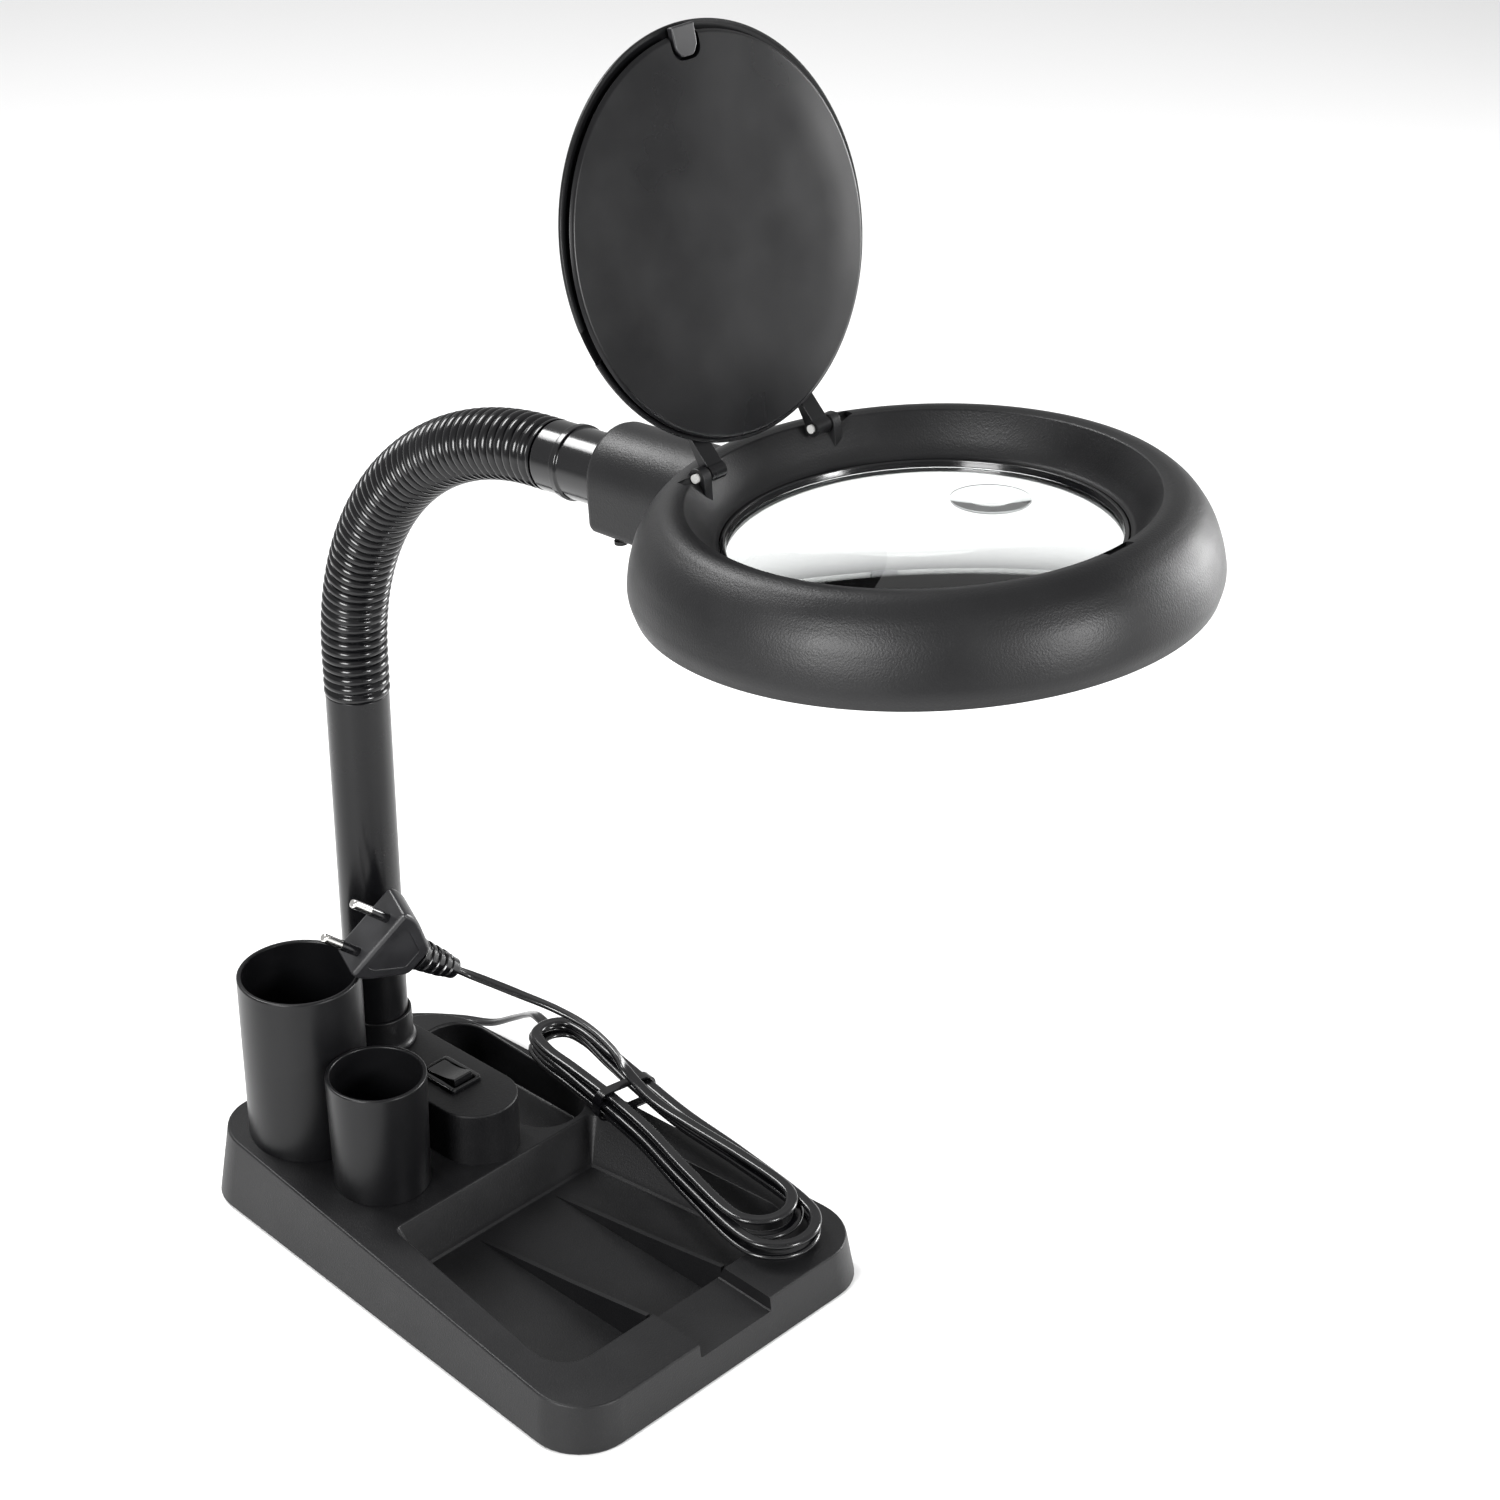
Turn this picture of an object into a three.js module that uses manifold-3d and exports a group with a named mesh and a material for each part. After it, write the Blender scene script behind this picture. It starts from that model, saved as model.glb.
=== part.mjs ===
// Desk magnifying lamp: wedge base with a parts tray, two cups, a switch and a clip well, a plain stem,
// a flexible hose, and a ring head with a glass lens, a ring tube and a hinged lid. The mains lead is
// tied in a hank across the tray and its plug hangs on the rim of the tall cup.
// Millimetres, +Z up, origin at the middle of the base's underside. +X is right, -Y is the front.
import * as THREE from 'three';
import { mergeVertices } from 'three/addons/utils/BufferGeometryUtils.js';
import Module from 'manifold-3d';

const wasm = await Module();
wasm.setup();

// ---- driving dimensions ------------------------------------------------------------------------
const GAP = 0.3; // between pieces that rest on each other

const BASE_L = 240;
const BASE_FRONT_W = 167.2;
const BASE_BACK_W = 130;
const BASE_FRONT_H = 20.2;
const BASE_BACK_H = 32.8;
const BASE_CORNER = 22;
const EXTRA_CORNER = 8; // the corner beside the lead is rounder
const BASE_BOTTOM = 0.6;
const TOP_SLOPE = (BASE_BACK_H - BASE_FRONT_H) / BASE_L;
const TAPER_X = 0.0018; // the sides lean in as they rise
const TAPER_Y = 0.001;

const TRAY_BACK_Y = 12;
const TRAY_FRONT_Y = -90;
const TRAY_BACK_W = 100;
const TRAY_FRONT_W = 118;
const TRAY_FLOOR = 5.4;
const FIN_X = [-18, 23];
const FIN_T = 2;
const NOTCH_X = 2.5;
const NOTCH_W = 39;
const NOTCH_DEEP = 6;
const NOTCH_BACK_Y = -87;

const WELL = { x0: 29, x1: 62, y0: 16, y1: 100, floor: 12, corner: 15 };
const PLATE_TOP = 3.1;

const HOUSING = { x: 8.5, y0: 32, y1: 90, r: 17.3, top: 51, wall: 2.4 };
const SWITCH = { x: 9, y: 47.3, w: 15.6, l: 21.5, bodyW: 12.6, bodyL: 19, windowW: 10.6, windowL: 18 };
const ROCKER_TILT = 8;

const TALL_CUP = { x: -34.3, y: 84.9, r: 24.7, rBottom: 24.7, rim: 105, wall: 2 };
const SHORT_CUP = { x: -35.3, y: 39.9, r: 20, rBottom: 19.2, rim: 78.4, wall: 1.8 };

const STEM_X = HOUSING.x;
const STEM_Y = HOUSING.y1;
const STEM_R = 12.5;
const STEM_TOP = 213;
const SOCKET_TOP = 66;

const TILT = 4.15; // the head and the end of the hose rise to the front
const ARC_Z = 229;
const ARC_R = 118;
const HOSE_R = 12.3;
const BALL_R = 16;
const BALL_GAP = 0.5;
const HOSE_PIECES = 6;
const FIRST_PIVOT = 216;

const NECK_REACH = 176.8; // from the last pivot to the middle of the lens
const NECK_DROP = 8; // the hose meets the head below the lens
const ROUND = 40; // sides of everything turned about the middle of the lens
const LENS_R = 63.5;
const LENS_EDGE = 3;
const LENS_SAG = 5.8; // dome above the edge
const LENS_UNDER = 1.2; // dome below the edge
const TUBE_RING_R = 78;
const TUBE_R = 6;

const LID_HINGE_Y = 67;
const LID_HINGE_Z = 17.6;
const LID_OPEN = 78.6;
const LID_R = 67.2;
const LID_REACH = 72; // hinge line to the middle of the lid
const PANEL_R = 65;
const PANEL_REACH = 71;

const CORD = { w: 5, t: 3 };
const GLAND = { x: 34, y: 118, z: 13 };
const PLUG_FACE = new THREE.Vector3(-14.5, 62.4, 123);
const PLUG_AXIS = new THREE.Vector3(0.764, -0.143, -0.629);
const PLUG_WIDTH = new THREE.Vector3(0.548, -0.373, 0.749);
const HANK = { back: [73, 51], backR: 12, front: [50, -93], frontR: 18, thick: 12, lift: 0.5 };

// ---- finishes ----------------------------------------------------------------------------------
const finish = (color, roughness, metalness) => new THREE.MeshStandardMaterial({ color, roughness, metalness });
const shellBlack = finish(0x1c1c1d, 0.55, 0);
const glossBlack = finish(0x0c0c0d, 0.25, 0);
const satinLid = finish(0x232324, 0.4, 0);
const steel = finish(0x9a9c9e, 0.35, 1);
const nickel = finish(0xd8d8da, 0.18, 1);
const iron = finish(0x4a4b4d, 0.7, 0.6);
const white = finish(0xf0f0ee, 0.4, 0);
const glass = finish(0xe8f1f0, 0.05, 0);
const foam = finish(0x151515, 0.95, 0);
const board = finish(0x2d6a3a, 0.5, 0);

// ---- helpers -----------------------------------------------------------------------------------
const rad = THREE.MathUtils.degToRad;
const P = (x, y) => new THREE.Vector2(x, y);
const topHeight = (y) => BASE_FRONT_H + TOP_SLOPE * (y + BASE_L / 2);

function volumeOf(positions, index) {
  let sum = 0;
  const a = new THREE.Vector3();
  const b = new THREE.Vector3();
  const c = new THREE.Vector3();
  for (let i = 0; i < index.length; i += 3) {
    a.fromArray(positions, 3 * index[i]);
    b.fromArray(positions, 3 * index[i + 1]);
    c.fromArray(positions, 3 * index[i + 2]);
    sum += a.dot(b.cross(c));
  }
  return sum / 6;
}

// A closed solid from a geometry: corners merged, flat slivers dropped, faces turned outward.
function solid(geometry) {
  const bare = geometry.clone();
  bare.deleteAttribute('normal');
  bare.deleteAttribute('uv');
  const merged = mergeVertices(bare, 1e-4);
  const positions = Float32Array.from(merged.attributes.position.array);
  const kept = [];
  const index = merged.index.array;
  for (let i = 0; i < index.length; i += 3) {
    const [a, b, c] = [index[i], index[i + 1], index[i + 2]];
    if (a !== b && b !== c && c !== a) kept.push(a, b, c);
  }
  if (volumeOf(positions, kept) < 0) {
    for (let i = 0; i < kept.length; i += 3) [kept[i + 1], kept[i + 2]] = [kept[i + 2], kept[i + 1]];
  }
  const mesh = new wasm.Mesh({ numProp: 3, vertProperties: positions, triVerts: Uint32Array.from(kept) });
  return new wasm.Manifold(mesh);
}

function geometryOf(body) {
  const { vertProperties, triVerts, numProp } = body.getMesh();
  const positions = new Float32Array((vertProperties.length / numProp) * 3);
  for (let i = 0, j = 0; i < vertProperties.length; i += numProp, j += 3) {
    positions.set(vertProperties.subarray(i, i + 3), j);
  }
  const geometry = new THREE.BufferGeometry();
  geometry.setAttribute('position', new THREE.BufferAttribute(positions, 3));
  geometry.setIndex(new THREE.BufferAttribute(triVerts, 1));
  geometry.computeVertexNormals();
  return geometry;
}

const join = (...bodies) => bodies.reduce((whole, body) => whole.add(body));
const cut = (body, ...tools) => tools.reduce((whole, tool) => whole.subtract(tool), body);

// Outline of straight sides whose corners are arcs.
function roundedShape(corners, radii) {
  const points = [];
  const count = corners.length;
  corners.forEach((corner, i) => {
    const radius = Array.isArray(radii) ? radii[i] : radii;
    const back = corners[(i + count - 1) % count].clone().sub(corner).normalize();
    const ahead = corners[(i + 1) % count].clone().sub(corner).normalize();
    const half = Math.acos(THREE.MathUtils.clamp(back.dot(ahead), -1, 1)) / 2;
    if (radius === 0) {
      points.push(corner);
      return;
    }
    const centre = back.clone().add(ahead).normalize().multiplyScalar(radius / Math.sin(half)).add(corner);
    const from = back.clone().multiplyScalar(radius / Math.tan(half)).add(corner).sub(centre);
    const to = ahead.clone().multiplyScalar(radius / Math.tan(half)).add(corner).sub(centre);
    let turn = to.angle() - from.angle();
    turn = Math.atan2(Math.sin(turn), Math.cos(turn));
    const steps = radius > 8 ? 6 : 3;
    for (let k = 0; k <= steps; k += 1) {
      const angle = from.angle() + (turn * k) / steps;
      points.push(P(centre.x + radius * Math.cos(angle), centre.y + radius * Math.sin(angle)));
    }
  });
  return new THREE.Shape(points);
}

function extrude(shape, z0, z1) {
  const geometry = new THREE.ExtrudeGeometry(shape, { depth: z1 - z0, bevelEnabled: false, curveSegments: 10 });
  return geometry.translate(0, 0, z0);
}

// A side view (y, z) carried across from x0 to x1.
function acrossX(points, x0, x1) {
  const geometry = new THREE.ExtrudeGeometry(new THREE.Shape(points), { depth: x1 - x0, bevelEnabled: false });
  return geometry.rotateX(Math.PI / 2).rotateZ(Math.PI / 2).translate(x0, 0, 0);
}

// A front view (x, z) carried back from y0 to y1.
function alongY(shape, y0, y1) {
  const geometry = new THREE.ExtrudeGeometry(shape, { depth: y1 - y0, bevelEnabled: false, curveSegments: 12 });
  return geometry.rotateX(Math.PI / 2).translate(0, y1, 0);
}

function box(x0, x1, y0, y1, z0, z1) {
  const geometry = new THREE.BoxGeometry(x1 - x0, y1 - y0, z1 - z0);
  return geometry.translate((x0 + x1) / 2, (y0 + y1) / 2, (z0 + z1) / 2);
}

// A turned piece about Z from its (radius, z) profile.
function turned(profile, segments = 32, closed = false) {
  const points = profile.map(([r, z]) => P(r, z));
  if (closed) points.push(points[0].clone());
  return new THREE.LatheGeometry(points, segments).rotateX(Math.PI / 2);
}

const rod = (r, z0, z1, segments = 20) => turned([[0, z0], [r, z0], [r, z1], [0, z1]], segments);
const ring = (r0, r1, z0, z1, segments = 24) => turned([[r0, z0], [r1, z0], [r1, z1], [r0, z1]], segments, true);

function arcPoints(cx, cy, r, from, to, steps) {
  const points = [];
  for (let i = 0; i <= steps; i += 1) {
    const angle = rad(from + ((to - from) * i) / steps);
    points.push([cx + r * Math.cos(angle), cy + r * Math.sin(angle)]);
  }
  return points;
}

function stadium(x, y0, y1, r) {
  const shape = new THREE.Shape();
  shape.absarc(x, y1, r, 0, Math.PI, false);
  shape.absarc(x, y0, r, Math.PI, 2 * Math.PI, false);
  shape.closePath();
  return shape;
}

const model = new THREE.Group();

function place(parent, name, body, material) {
  const geometry = body.isBufferGeometry ? geometryOf(solid(body)) : geometryOf(body);
  const mesh = new THREE.Mesh(geometry, material.clone());
  mesh.name = name;
  parent.add(mesh);
  return mesh;
}

// ---- base --------------------------------------------------------------------------------------
function baseOutline(inset, corner) {
  const [f, b, l] = [BASE_FRONT_W / 2 - inset, BASE_BACK_W / 2 - inset, BASE_L / 2 - inset];
  return roundedShape([P(-f, -l), P(f, -l), P(b, l), P(-b, l)], [corner, corner, corner + EXTRA_CORNER, corner]);
}

// Everything higher than the sloped top, shifted by lift.
function aboveTop(lift) {
  const slab = new THREE.BoxGeometry(400, 500, 120).translate(0, 0, 60);
  slab.rotateX(Math.atan(TOP_SLOPE));
  return solid(slab.translate(0, 0, topHeight(0) + lift));
}

function leanIn(geometry) {
  const at = geometry.attributes.position;
  for (let i = 0; i < at.count; i += 1) {
    const rise = at.getZ(i) - BASE_BOTTOM;
    at.setX(i, at.getX(i) * (1 - TAPER_X * rise));
    at.setY(i, at.getY(i) * (1 - TAPER_Y * rise));
  }
  return geometry;
}

function trayCutter() {
  const [b, f] = [TRAY_BACK_W / 2, TRAY_FRONT_W / 2];
  const plan = roundedShape([P(-f, TRAY_FRONT_Y), P(f, TRAY_FRONT_Y), P(b, TRAY_BACK_Y), P(-b, TRAY_BACK_Y)],
    [14, 14, 4, 4]);
  const side = [P(TRAY_BACK_Y + 1, TRAY_FLOOR + 3), P(TRAY_BACK_Y + 1, 60), P(TRAY_FRONT_Y - 1, 60),
    P(TRAY_FRONT_Y - 1, 20), P(-78, TRAY_FLOOR)];
  return solid(extrude(plan, 0, 60)).intersect(solid(acrossX(side, -90, 90)));
}

function fin(x) {
  const side = [P(3, TRAY_FLOOR - 2), P(3, 8.2), P(TRAY_FRONT_Y, topHeight(TRAY_FRONT_Y) - 0.4), P(TRAY_FRONT_Y, 8),
    P(-78, TRAY_FLOOR - 2)];
  return solid(acrossX(side, x - FIN_T / 2, x + FIN_T / 2));
}

function wellShape(grow) {
  const { x0, x1, y0, y1, corner } = WELL;
  const corners = [P(x0 - grow, y0 - grow), P(x1 + grow, y0 - grow), P(x1 + grow, y1 + grow), P(x0 - grow, y1 + grow)];
  return roundedShape(corners, corner + grow);
}

function rearCavity() {
  const plan = new THREE.Shape([P(-68, 15), P(26, 15), P(26, 112), P(-45, 112), P(-45, 98), P(-62, 98)]);
  return cut(solid(extrude(plan, PLATE_TOP, 60)), aboveTop(-2.5));
}

function baseShell() {
  const { x, y0, y1, r, top, wall } = HOUSING;
  let body = cut(solid(leanIn(extrude(baseOutline(0, BASE_CORNER), BASE_BOTTOM, 45))), aboveTop(0));
  body = join(body, solid(extrude(stadium(x, y0, y1, r), 10, top)));
  const notch = solid(box(NOTCH_X - NOTCH_W / 2, NOTCH_X + NOTCH_W / 2, -130, NOTCH_BACK_Y,
    BASE_FRONT_H - NOTCH_DEEP, 60));
  const well = solid(extrude(wellShape(0), WELL.floor, 60));
  const underWell = solid(extrude(wellShape(-2), PLATE_TOP, WELL.floor - 2.5));
  const recess = solid(extrude(baseOutline(2.6, BASE_CORNER - 2.6), -5, PLATE_TOP + 0.1));
  const housingHollow = solid(extrude(stadium(x, y0, y1, r - wall), PLATE_TOP, top - wall));
  body = cut(body, rearCavity(), housingHollow, recess, trayCutter(), notch, well, underWell);
  body = join(body, ...FIN_X.map(fin));
  const stemHole = solid(rod(STEM_R + GAP, 40, 60, 32)).translate([STEM_X, STEM_Y, 0]);
  const { bodyW, bodyL } = SWITCH;
  const switchHole = solid(box(SWITCH.x - bodyW / 2 - GAP, SWITCH.x + bodyW / 2 + GAP,
    SWITCH.y - bodyL / 2 - GAP, SWITCH.y + bodyL / 2 + GAP, 40, 60));
  const glandHole = solid(rod(3.6 + GAP, -12, 12, 16).rotateX(Math.PI / 2)).translate([GLAND.x, GLAND.y, GLAND.z]);
  const screwHoles = SCREWS.map(([sx, sy]) => solid(rod(1.6, 0, 13, 10)).translate([sx, sy, 0]));
  const cordRoom = solid(box(GLAND.x - 6, GLAND.x + 6, 106, 113, PLATE_TOP, 19));
  return cut(body, stemHole, switchHole, glandHole, cordRoom, ...screwHoles);
}

const SCREWS = [[-70, -106], [70, -106], [-52, 106], [54, 106]];

function bottomPlate() {
  const plate = solid(extrude(baseOutline(3, BASE_CORNER - 3), 1.3, PLATE_TOP - GAP));
  return cut(plate, ...SCREWS.map(([x, y]) => solid(rod(1.7, 0, 8, 10)).translate([x, y, 0])));
}

function baseScrew([x, y]) {
  return solid(turned([[0, 0.3], [2.9, 0.3], [2.9, 1], [1.3, 1], [1.3, 11], [0, 11.8]], 10)).translate([x, y, 0]);
}

function ballast() {
  return box(-52, 21, 50, 97, PLATE_TOP + GAP, 21);
}

function cup({ x, y, r, rBottom, rim, wall }) {
  const low = 20;
  const body = turned([[0, low], [rBottom, low], [r, rim - 0.6], [r - 0.6, rim], [r - wall + 0.5, rim],
    [r - wall, rim - 0.5], [rBottom - wall, topHeight(y) + 3.5], [0, topHeight(y) + 3.5]], 28);
  const below = solid(new THREE.BoxGeometry(200, 200, 60).translate(0, 0, -30).rotateX(Math.atan(TOP_SLOPE)))
    .translate([x, y, topHeight(y) + GAP]);
  return solid(body).translate([x, y, 0]).subtract(below);
}

function switchFrame() {
  const { x, y, w, l, bodyW, bodyL, windowW, windowL } = SWITCH;
  const top = HOUSING.top + GAP;
  const bezel = roundedShape([P(x - w / 2, y - l / 2), P(x + w / 2, y - l / 2), P(x + w / 2, y + l / 2),
    P(x - w / 2, y + l / 2)], 1.2);
  const body = join(solid(extrude(bezel, top, top + 1.6)),
    solid(box(x - bodyW / 2, x + bodyW / 2, y - bodyL / 2, y + bodyL / 2, 37, top + 1)));
  const window = solid(box(x - windowW / 2, x + windowW / 2, y - windowL / 2, y + windowL / 2, 45, 60));
  return cut(body, window);
}

function rockerBody() {
  const half = 8.4;
  const side = [P(-half, 2.1), P(-half, -1.2), P(-4.5, -4.2), P(4.5, -4.2), P(half, -1.2), P(half, 2.1), P(0, 0.9)];
  return acrossX(side, -4.9, 4.9);
}

function circuitBoard() {
  return box(-50, -10, 18, 46, 6, 7.6);
}

function stemSocket() {
  const z = HOUSING.top + GAP;
  const r = STEM_R + GAP;
  return turned([[r, z], [15.4, z], [15.4, z + 1.2], [14.2, z + 2.4], [13.9, SOCKET_TOP], [r, SOCKET_TOP]], 24, true);
}

function buildBase() {
  place(model, 'base_shell', baseShell(), shellBlack);
  place(model, 'bottom_plate', bottomPlate(), iron);
  place(model, 'ballast_weight', ballast(), iron);
  const padShape = roundedShape([P(-55, -95), P(55, -95), P(50, 95), P(-50, 95)], 10);
  place(model, 'base_pad', extrude(padShape, 0, 1), foam);
  SCREWS.forEach((at, i) => place(model, `base_screw_${i + 1}`, baseScrew(at), steel));
  place(model, 'tall_cup', cup(TALL_CUP), shellBlack);
  place(model, 'short_cup', cup(SHORT_CUP), shellBlack);
  place(model, 'switch_frame', switchFrame(), glossBlack);
  const rocker = place(model, 'switch_rocker', rockerBody(), glossBlack);
  rocker.position.set(SWITCH.x, SWITCH.y, HOUSING.top + GAP + 1.1);
  rocker.rotation.x = -rad(ROCKER_TILT);
  place(model, 'lamp_choke_board', circuitBoard(), board);
  place(model, 'lamp_choke_coil', box(-46, -30, 22, 38, 7.9, 19), iron);
  place(model, 'lamp_choke_capacitor', solid(rod(4.5, 7.9, 20, 16)).translate([-20, 32, 0]), glossBlack);
}

// ---- stem and hose -----------------------------------------------------------------------------
const arcEndAngle = rad(90 - TILT);
const hoseEnd = new THREE.Vector3(STEM_X, STEM_Y - ARC_R + ARC_R * Math.cos(arcEndAngle),
  ARC_Z + ARC_R * Math.sin(arcEndAngle));
const endDirection = new THREE.Vector3(0, -Math.cos(rad(TILT)), Math.sin(rad(TILT)));

// Middle of the hose at a length measured up from the top of the stem.
function hosePoint(s) {
  const straight = ARC_Z - STEM_TOP;
  if (s <= straight) return new THREE.Vector3(STEM_X, STEM_Y, STEM_TOP + s);
  const angle = (s - straight) / ARC_R;
  return new THREE.Vector3(STEM_X, STEM_Y - ARC_R + ARC_R * Math.cos(angle), ARC_Z + ARC_R * Math.sin(angle));
}

const hoseLength = ARC_Z - STEM_TOP + ARC_R * arcEndAngle;
const pivots = [];
for (let i = 0; i <= HOSE_PIECES; i += 1) {
  const first = FIRST_PIVOT - STEM_TOP;
  pivots.push(hosePoint(first + ((hoseLength - first) * i) / HOSE_PIECES));
}

// Ball end (convex) about a pivot at height z, and its cup (concave), as profiles of the hose's radius.
function ballProfile(z) {
  const reach = Math.asin(HOSE_R / BALL_R) * THREE.MathUtils.RAD2DEG;
  return arcPoints(0, z, BALL_R, 90 - reach, 90, 3);
}

function cupProfile(z) {
  const r = BALL_R + BALL_GAP;
  const reach = Math.asin(HOSE_R / r) * THREE.MathUtils.RAD2DEG;
  return arcPoints(0, z, r, 90, 90 - reach, 3);
}

function hosePiece(length) {
  return turned([...cupProfile(0), ...ballProfile(length)], 16);
}

function placeOnAxis(name, geometry, from, direction, material) {
  const mesh = place(model, name, geometry, material);
  mesh.position.copy(from);
  mesh.quaternion.setFromUnitVectors(new THREE.Vector3(0, 0, 1), direction.clone().normalize());
  return mesh;
}

function buildStem() {
  place(model, 'stem_socket', solid(stemSocket()).translate([STEM_X, STEM_Y, 0]), shellBlack);
  place(model, 'stem_tube', solid(ring(10.5, STEM_R, 36, STEM_TOP - GAP, 28)).translate([STEM_X, STEM_Y, 0]),
    shellBlack);
  place(model, 'stem_nut', solid(ring(STEM_R + GAP, 14.6, 42, HOUSING.top - HOUSING.wall - GAP, 28))
    .translate([STEM_X, STEM_Y, 0]), steel);
  const low = turned([[0, 0], [HOSE_R, 0], ...ballProfile(FIRST_PIVOT - STEM_TOP)], 16);
  placeOnAxis('hose_end_lower', low, hosePoint(0), new THREE.Vector3(0, 0, 1), glossBlack);
  for (let i = 0; i < HOSE_PIECES; i += 1) {
    const chord = pivots[i + 1].clone().sub(pivots[i]);
    placeOnAxis(`hose_piece_${i + 1}`, hosePiece(chord.length()), pivots[i], chord, glossBlack);
  }
  const high = turned([...cupProfile(0), [HOSE_R, 19], [12.9, 19.4], [12.9, 66], [0, 66]], 16);
  placeOnAxis('hose_end_upper', high, hoseEnd, endDirection, glossBlack);
}

// ---- head --------------------------------------------------------------------------------------
// Everything in the head is drawn about the middle of the lens, level, and then tilted with its group.
const head = new THREE.Group();
head.rotation.x = -rad(TILT);
const headUp = new THREE.Vector3(0, Math.sin(rad(TILT)), Math.cos(rad(TILT)));
head.position.copy(hoseEnd).addScaledVector(endDirection, NECK_REACH).addScaledVector(headUp, NECK_DROP);
model.add(head);

const INNER_PROFILE = [[66.4, -4], [66.8, 1], [72, 9], [75.6, 14.2], [78.5, 15.2], [85, 11.6], [90.4, 2.6],
  [92.2, -9], [90.8, -14]];
const SHELL_PROFILE = [[93.2, -14], [94.6, -8.5], [93.2, 0.6], [89.6, 9], [84, 15.6], [78.5, 18], [75, 17.2],
  [72.6, 14.6], [68.6, 7.6], [64.9, 4], [64.9, -1.8], [62.2, -1.8], [62.2, -4], ...INNER_PROFILE];
const LINER_PROFILE = [[62.4, -4.4], [66.8, -4.4], [67.4, 0.7], [72.5, 8.4], [76, 13.4], [78.5, 14.4], [84.5, 11],
  [89.8, 2.3], [91.5, -9], [90.3, -13.8], [89.5, -13.8], [90.7, -9], [89, 2], [84, 10.2], [78.5, 13.4], [76.4, 12.6],
  [73.2, 7.9], [68.2, 0.4], [67.6, -5.2], [62.4, -5.2]];
const CHANNEL_PROFILE = [[66.4, -40], ...INNER_PROFILE, [90.8, -40]];
const NECK = { back: 137, r: 18, z: -6.5, bottom: -22.9, bore: 13.3, boreFrom: 108 };

function neckBlock() {
  const arch = new THREE.Shape();
  arch.absarc(0, NECK.z, NECK.r, 0, Math.PI, false);
  arch.lineTo(-NECK.r, -40);
  arch.lineTo(NECK.r, -40);
  arch.closePath();
  const side = [P(NECK.back, NECK.bottom), P(NECK.back, 14), P(70, 14), P(70, -13), P(90, -13.5), P(112, -24)];
  return solid(alongY(arch, 60, NECK.back)).intersect(solid(acrossX(side, -30, 30)));
}

function headShell() {
  const channel = solid(turned(CHANNEL_PROFILE, ROUND, true));
  const mouth = solid(rod(80, -50, 40, ROUND));
  const block = cut(neckBlock(), channel, mouth);
  const lugs = [-31, 31].map((x) => cut(solid(acrossX([P(63.6, 9.5), P(63.6, LID_HINGE_Z), P(65, 20.6), P(69, 20.6),
    P(71.4, LID_HINGE_Z), P(73, 13)], x - 1.8, x + 1.8)), channel));
  const body = join(solid(turned(SHELL_PROFILE, ROUND, true)), block, ...lugs);
  const bore = solid(rod(NECK.bore, 0, 60, 24).rotateX(-Math.PI / 2)).translate([0, NECK.boreFrom, -NECK_DROP]);
  const wireWay = solid(rod(5, 0, 60, 12).rotateX(-Math.PI / 2)).translate([0, 84, -NECK_DROP]);
  const latch = solid(box(-6, 6, -78.4, -75.2, 16.3, 30));
  const earRoom = [-25, 25].map((x) => solid(rod(3.5, -3.9, 3.9, 16).rotateY(Math.PI / 2))
    .translate([x, LID_HINGE_Y, LID_HINGE_Z]));
  const pins = solid(rod(1.5 + GAP, -40, 40, 12).rotateY(Math.PI / 2)).translate([0, LID_HINGE_Y, LID_HINGE_Z]);
  const screwHoles = NECK_SCREWS.map(([x, y]) => solid(rod(1.5, -40, -12, 10)).translate([x, y, 0]));
  return cut(body, bore, wireWay, latch, pins, ...earRoom, ...screwHoles);
}

const NECK_SCREWS = [[-14.6, 124], [14.6, 124]];

function neckScrew([x, y]) {
  const z = -25.1;
  return solid(turned([[0, z], [2.4, z], [2.4, z + 1.3], [1.2, z + 1.3], [1.2, z + 11.2], [0, z + 12.4]], 10))
    .translate([x, y, 0]);
}

function lensBody() {
  const edge = LENS_EDGE / 2;
  const dome = (sag) => {
    const bulge = (LENS_R ** 2 + sag ** 2) / (2 * sag);
    const reach = Math.asin(LENS_R / bulge) * THREE.MathUtils.RAD2DEG;
    return arcPoints(0, edge + sag - bulge, bulge, 90 - reach, 90, 3);
  };
  const under = dome(LENS_UNDER).map(([r, z]) => [r, -z]).reverse();
  return turned([...under, ...dome(LENS_SAG)], ROUND);
}

function insetLens() {
  const body = turned([[0, -6.1], [9, -5.5], [13, -4.1], [13, -3.1], [0, -3.1]], 24);
  return solid(body.translate(38, 5, 0));
}

function tubeClip(angle) {
  const outline = [...arcPoints(0, 0, TUBE_R + 1.8, -60, 240, 10), ...arcPoints(0, 0, TUBE_R + 0.8, 240, -60, 10)];
  const shape = new THREE.Shape(outline.map(([x, y]) => P(x, y)));
  const strip = new THREE.ExtrudeGeometry(shape, { depth: 7, bevelEnabled: false }).translate(0, 0, -3.5);
  strip.rotateX(Math.PI / 2).translate(TUBE_RING_R, 0, TUBE_Z).rotateZ(rad(angle));
  return strip;
}

const TUBE_Z = -8;

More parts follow.
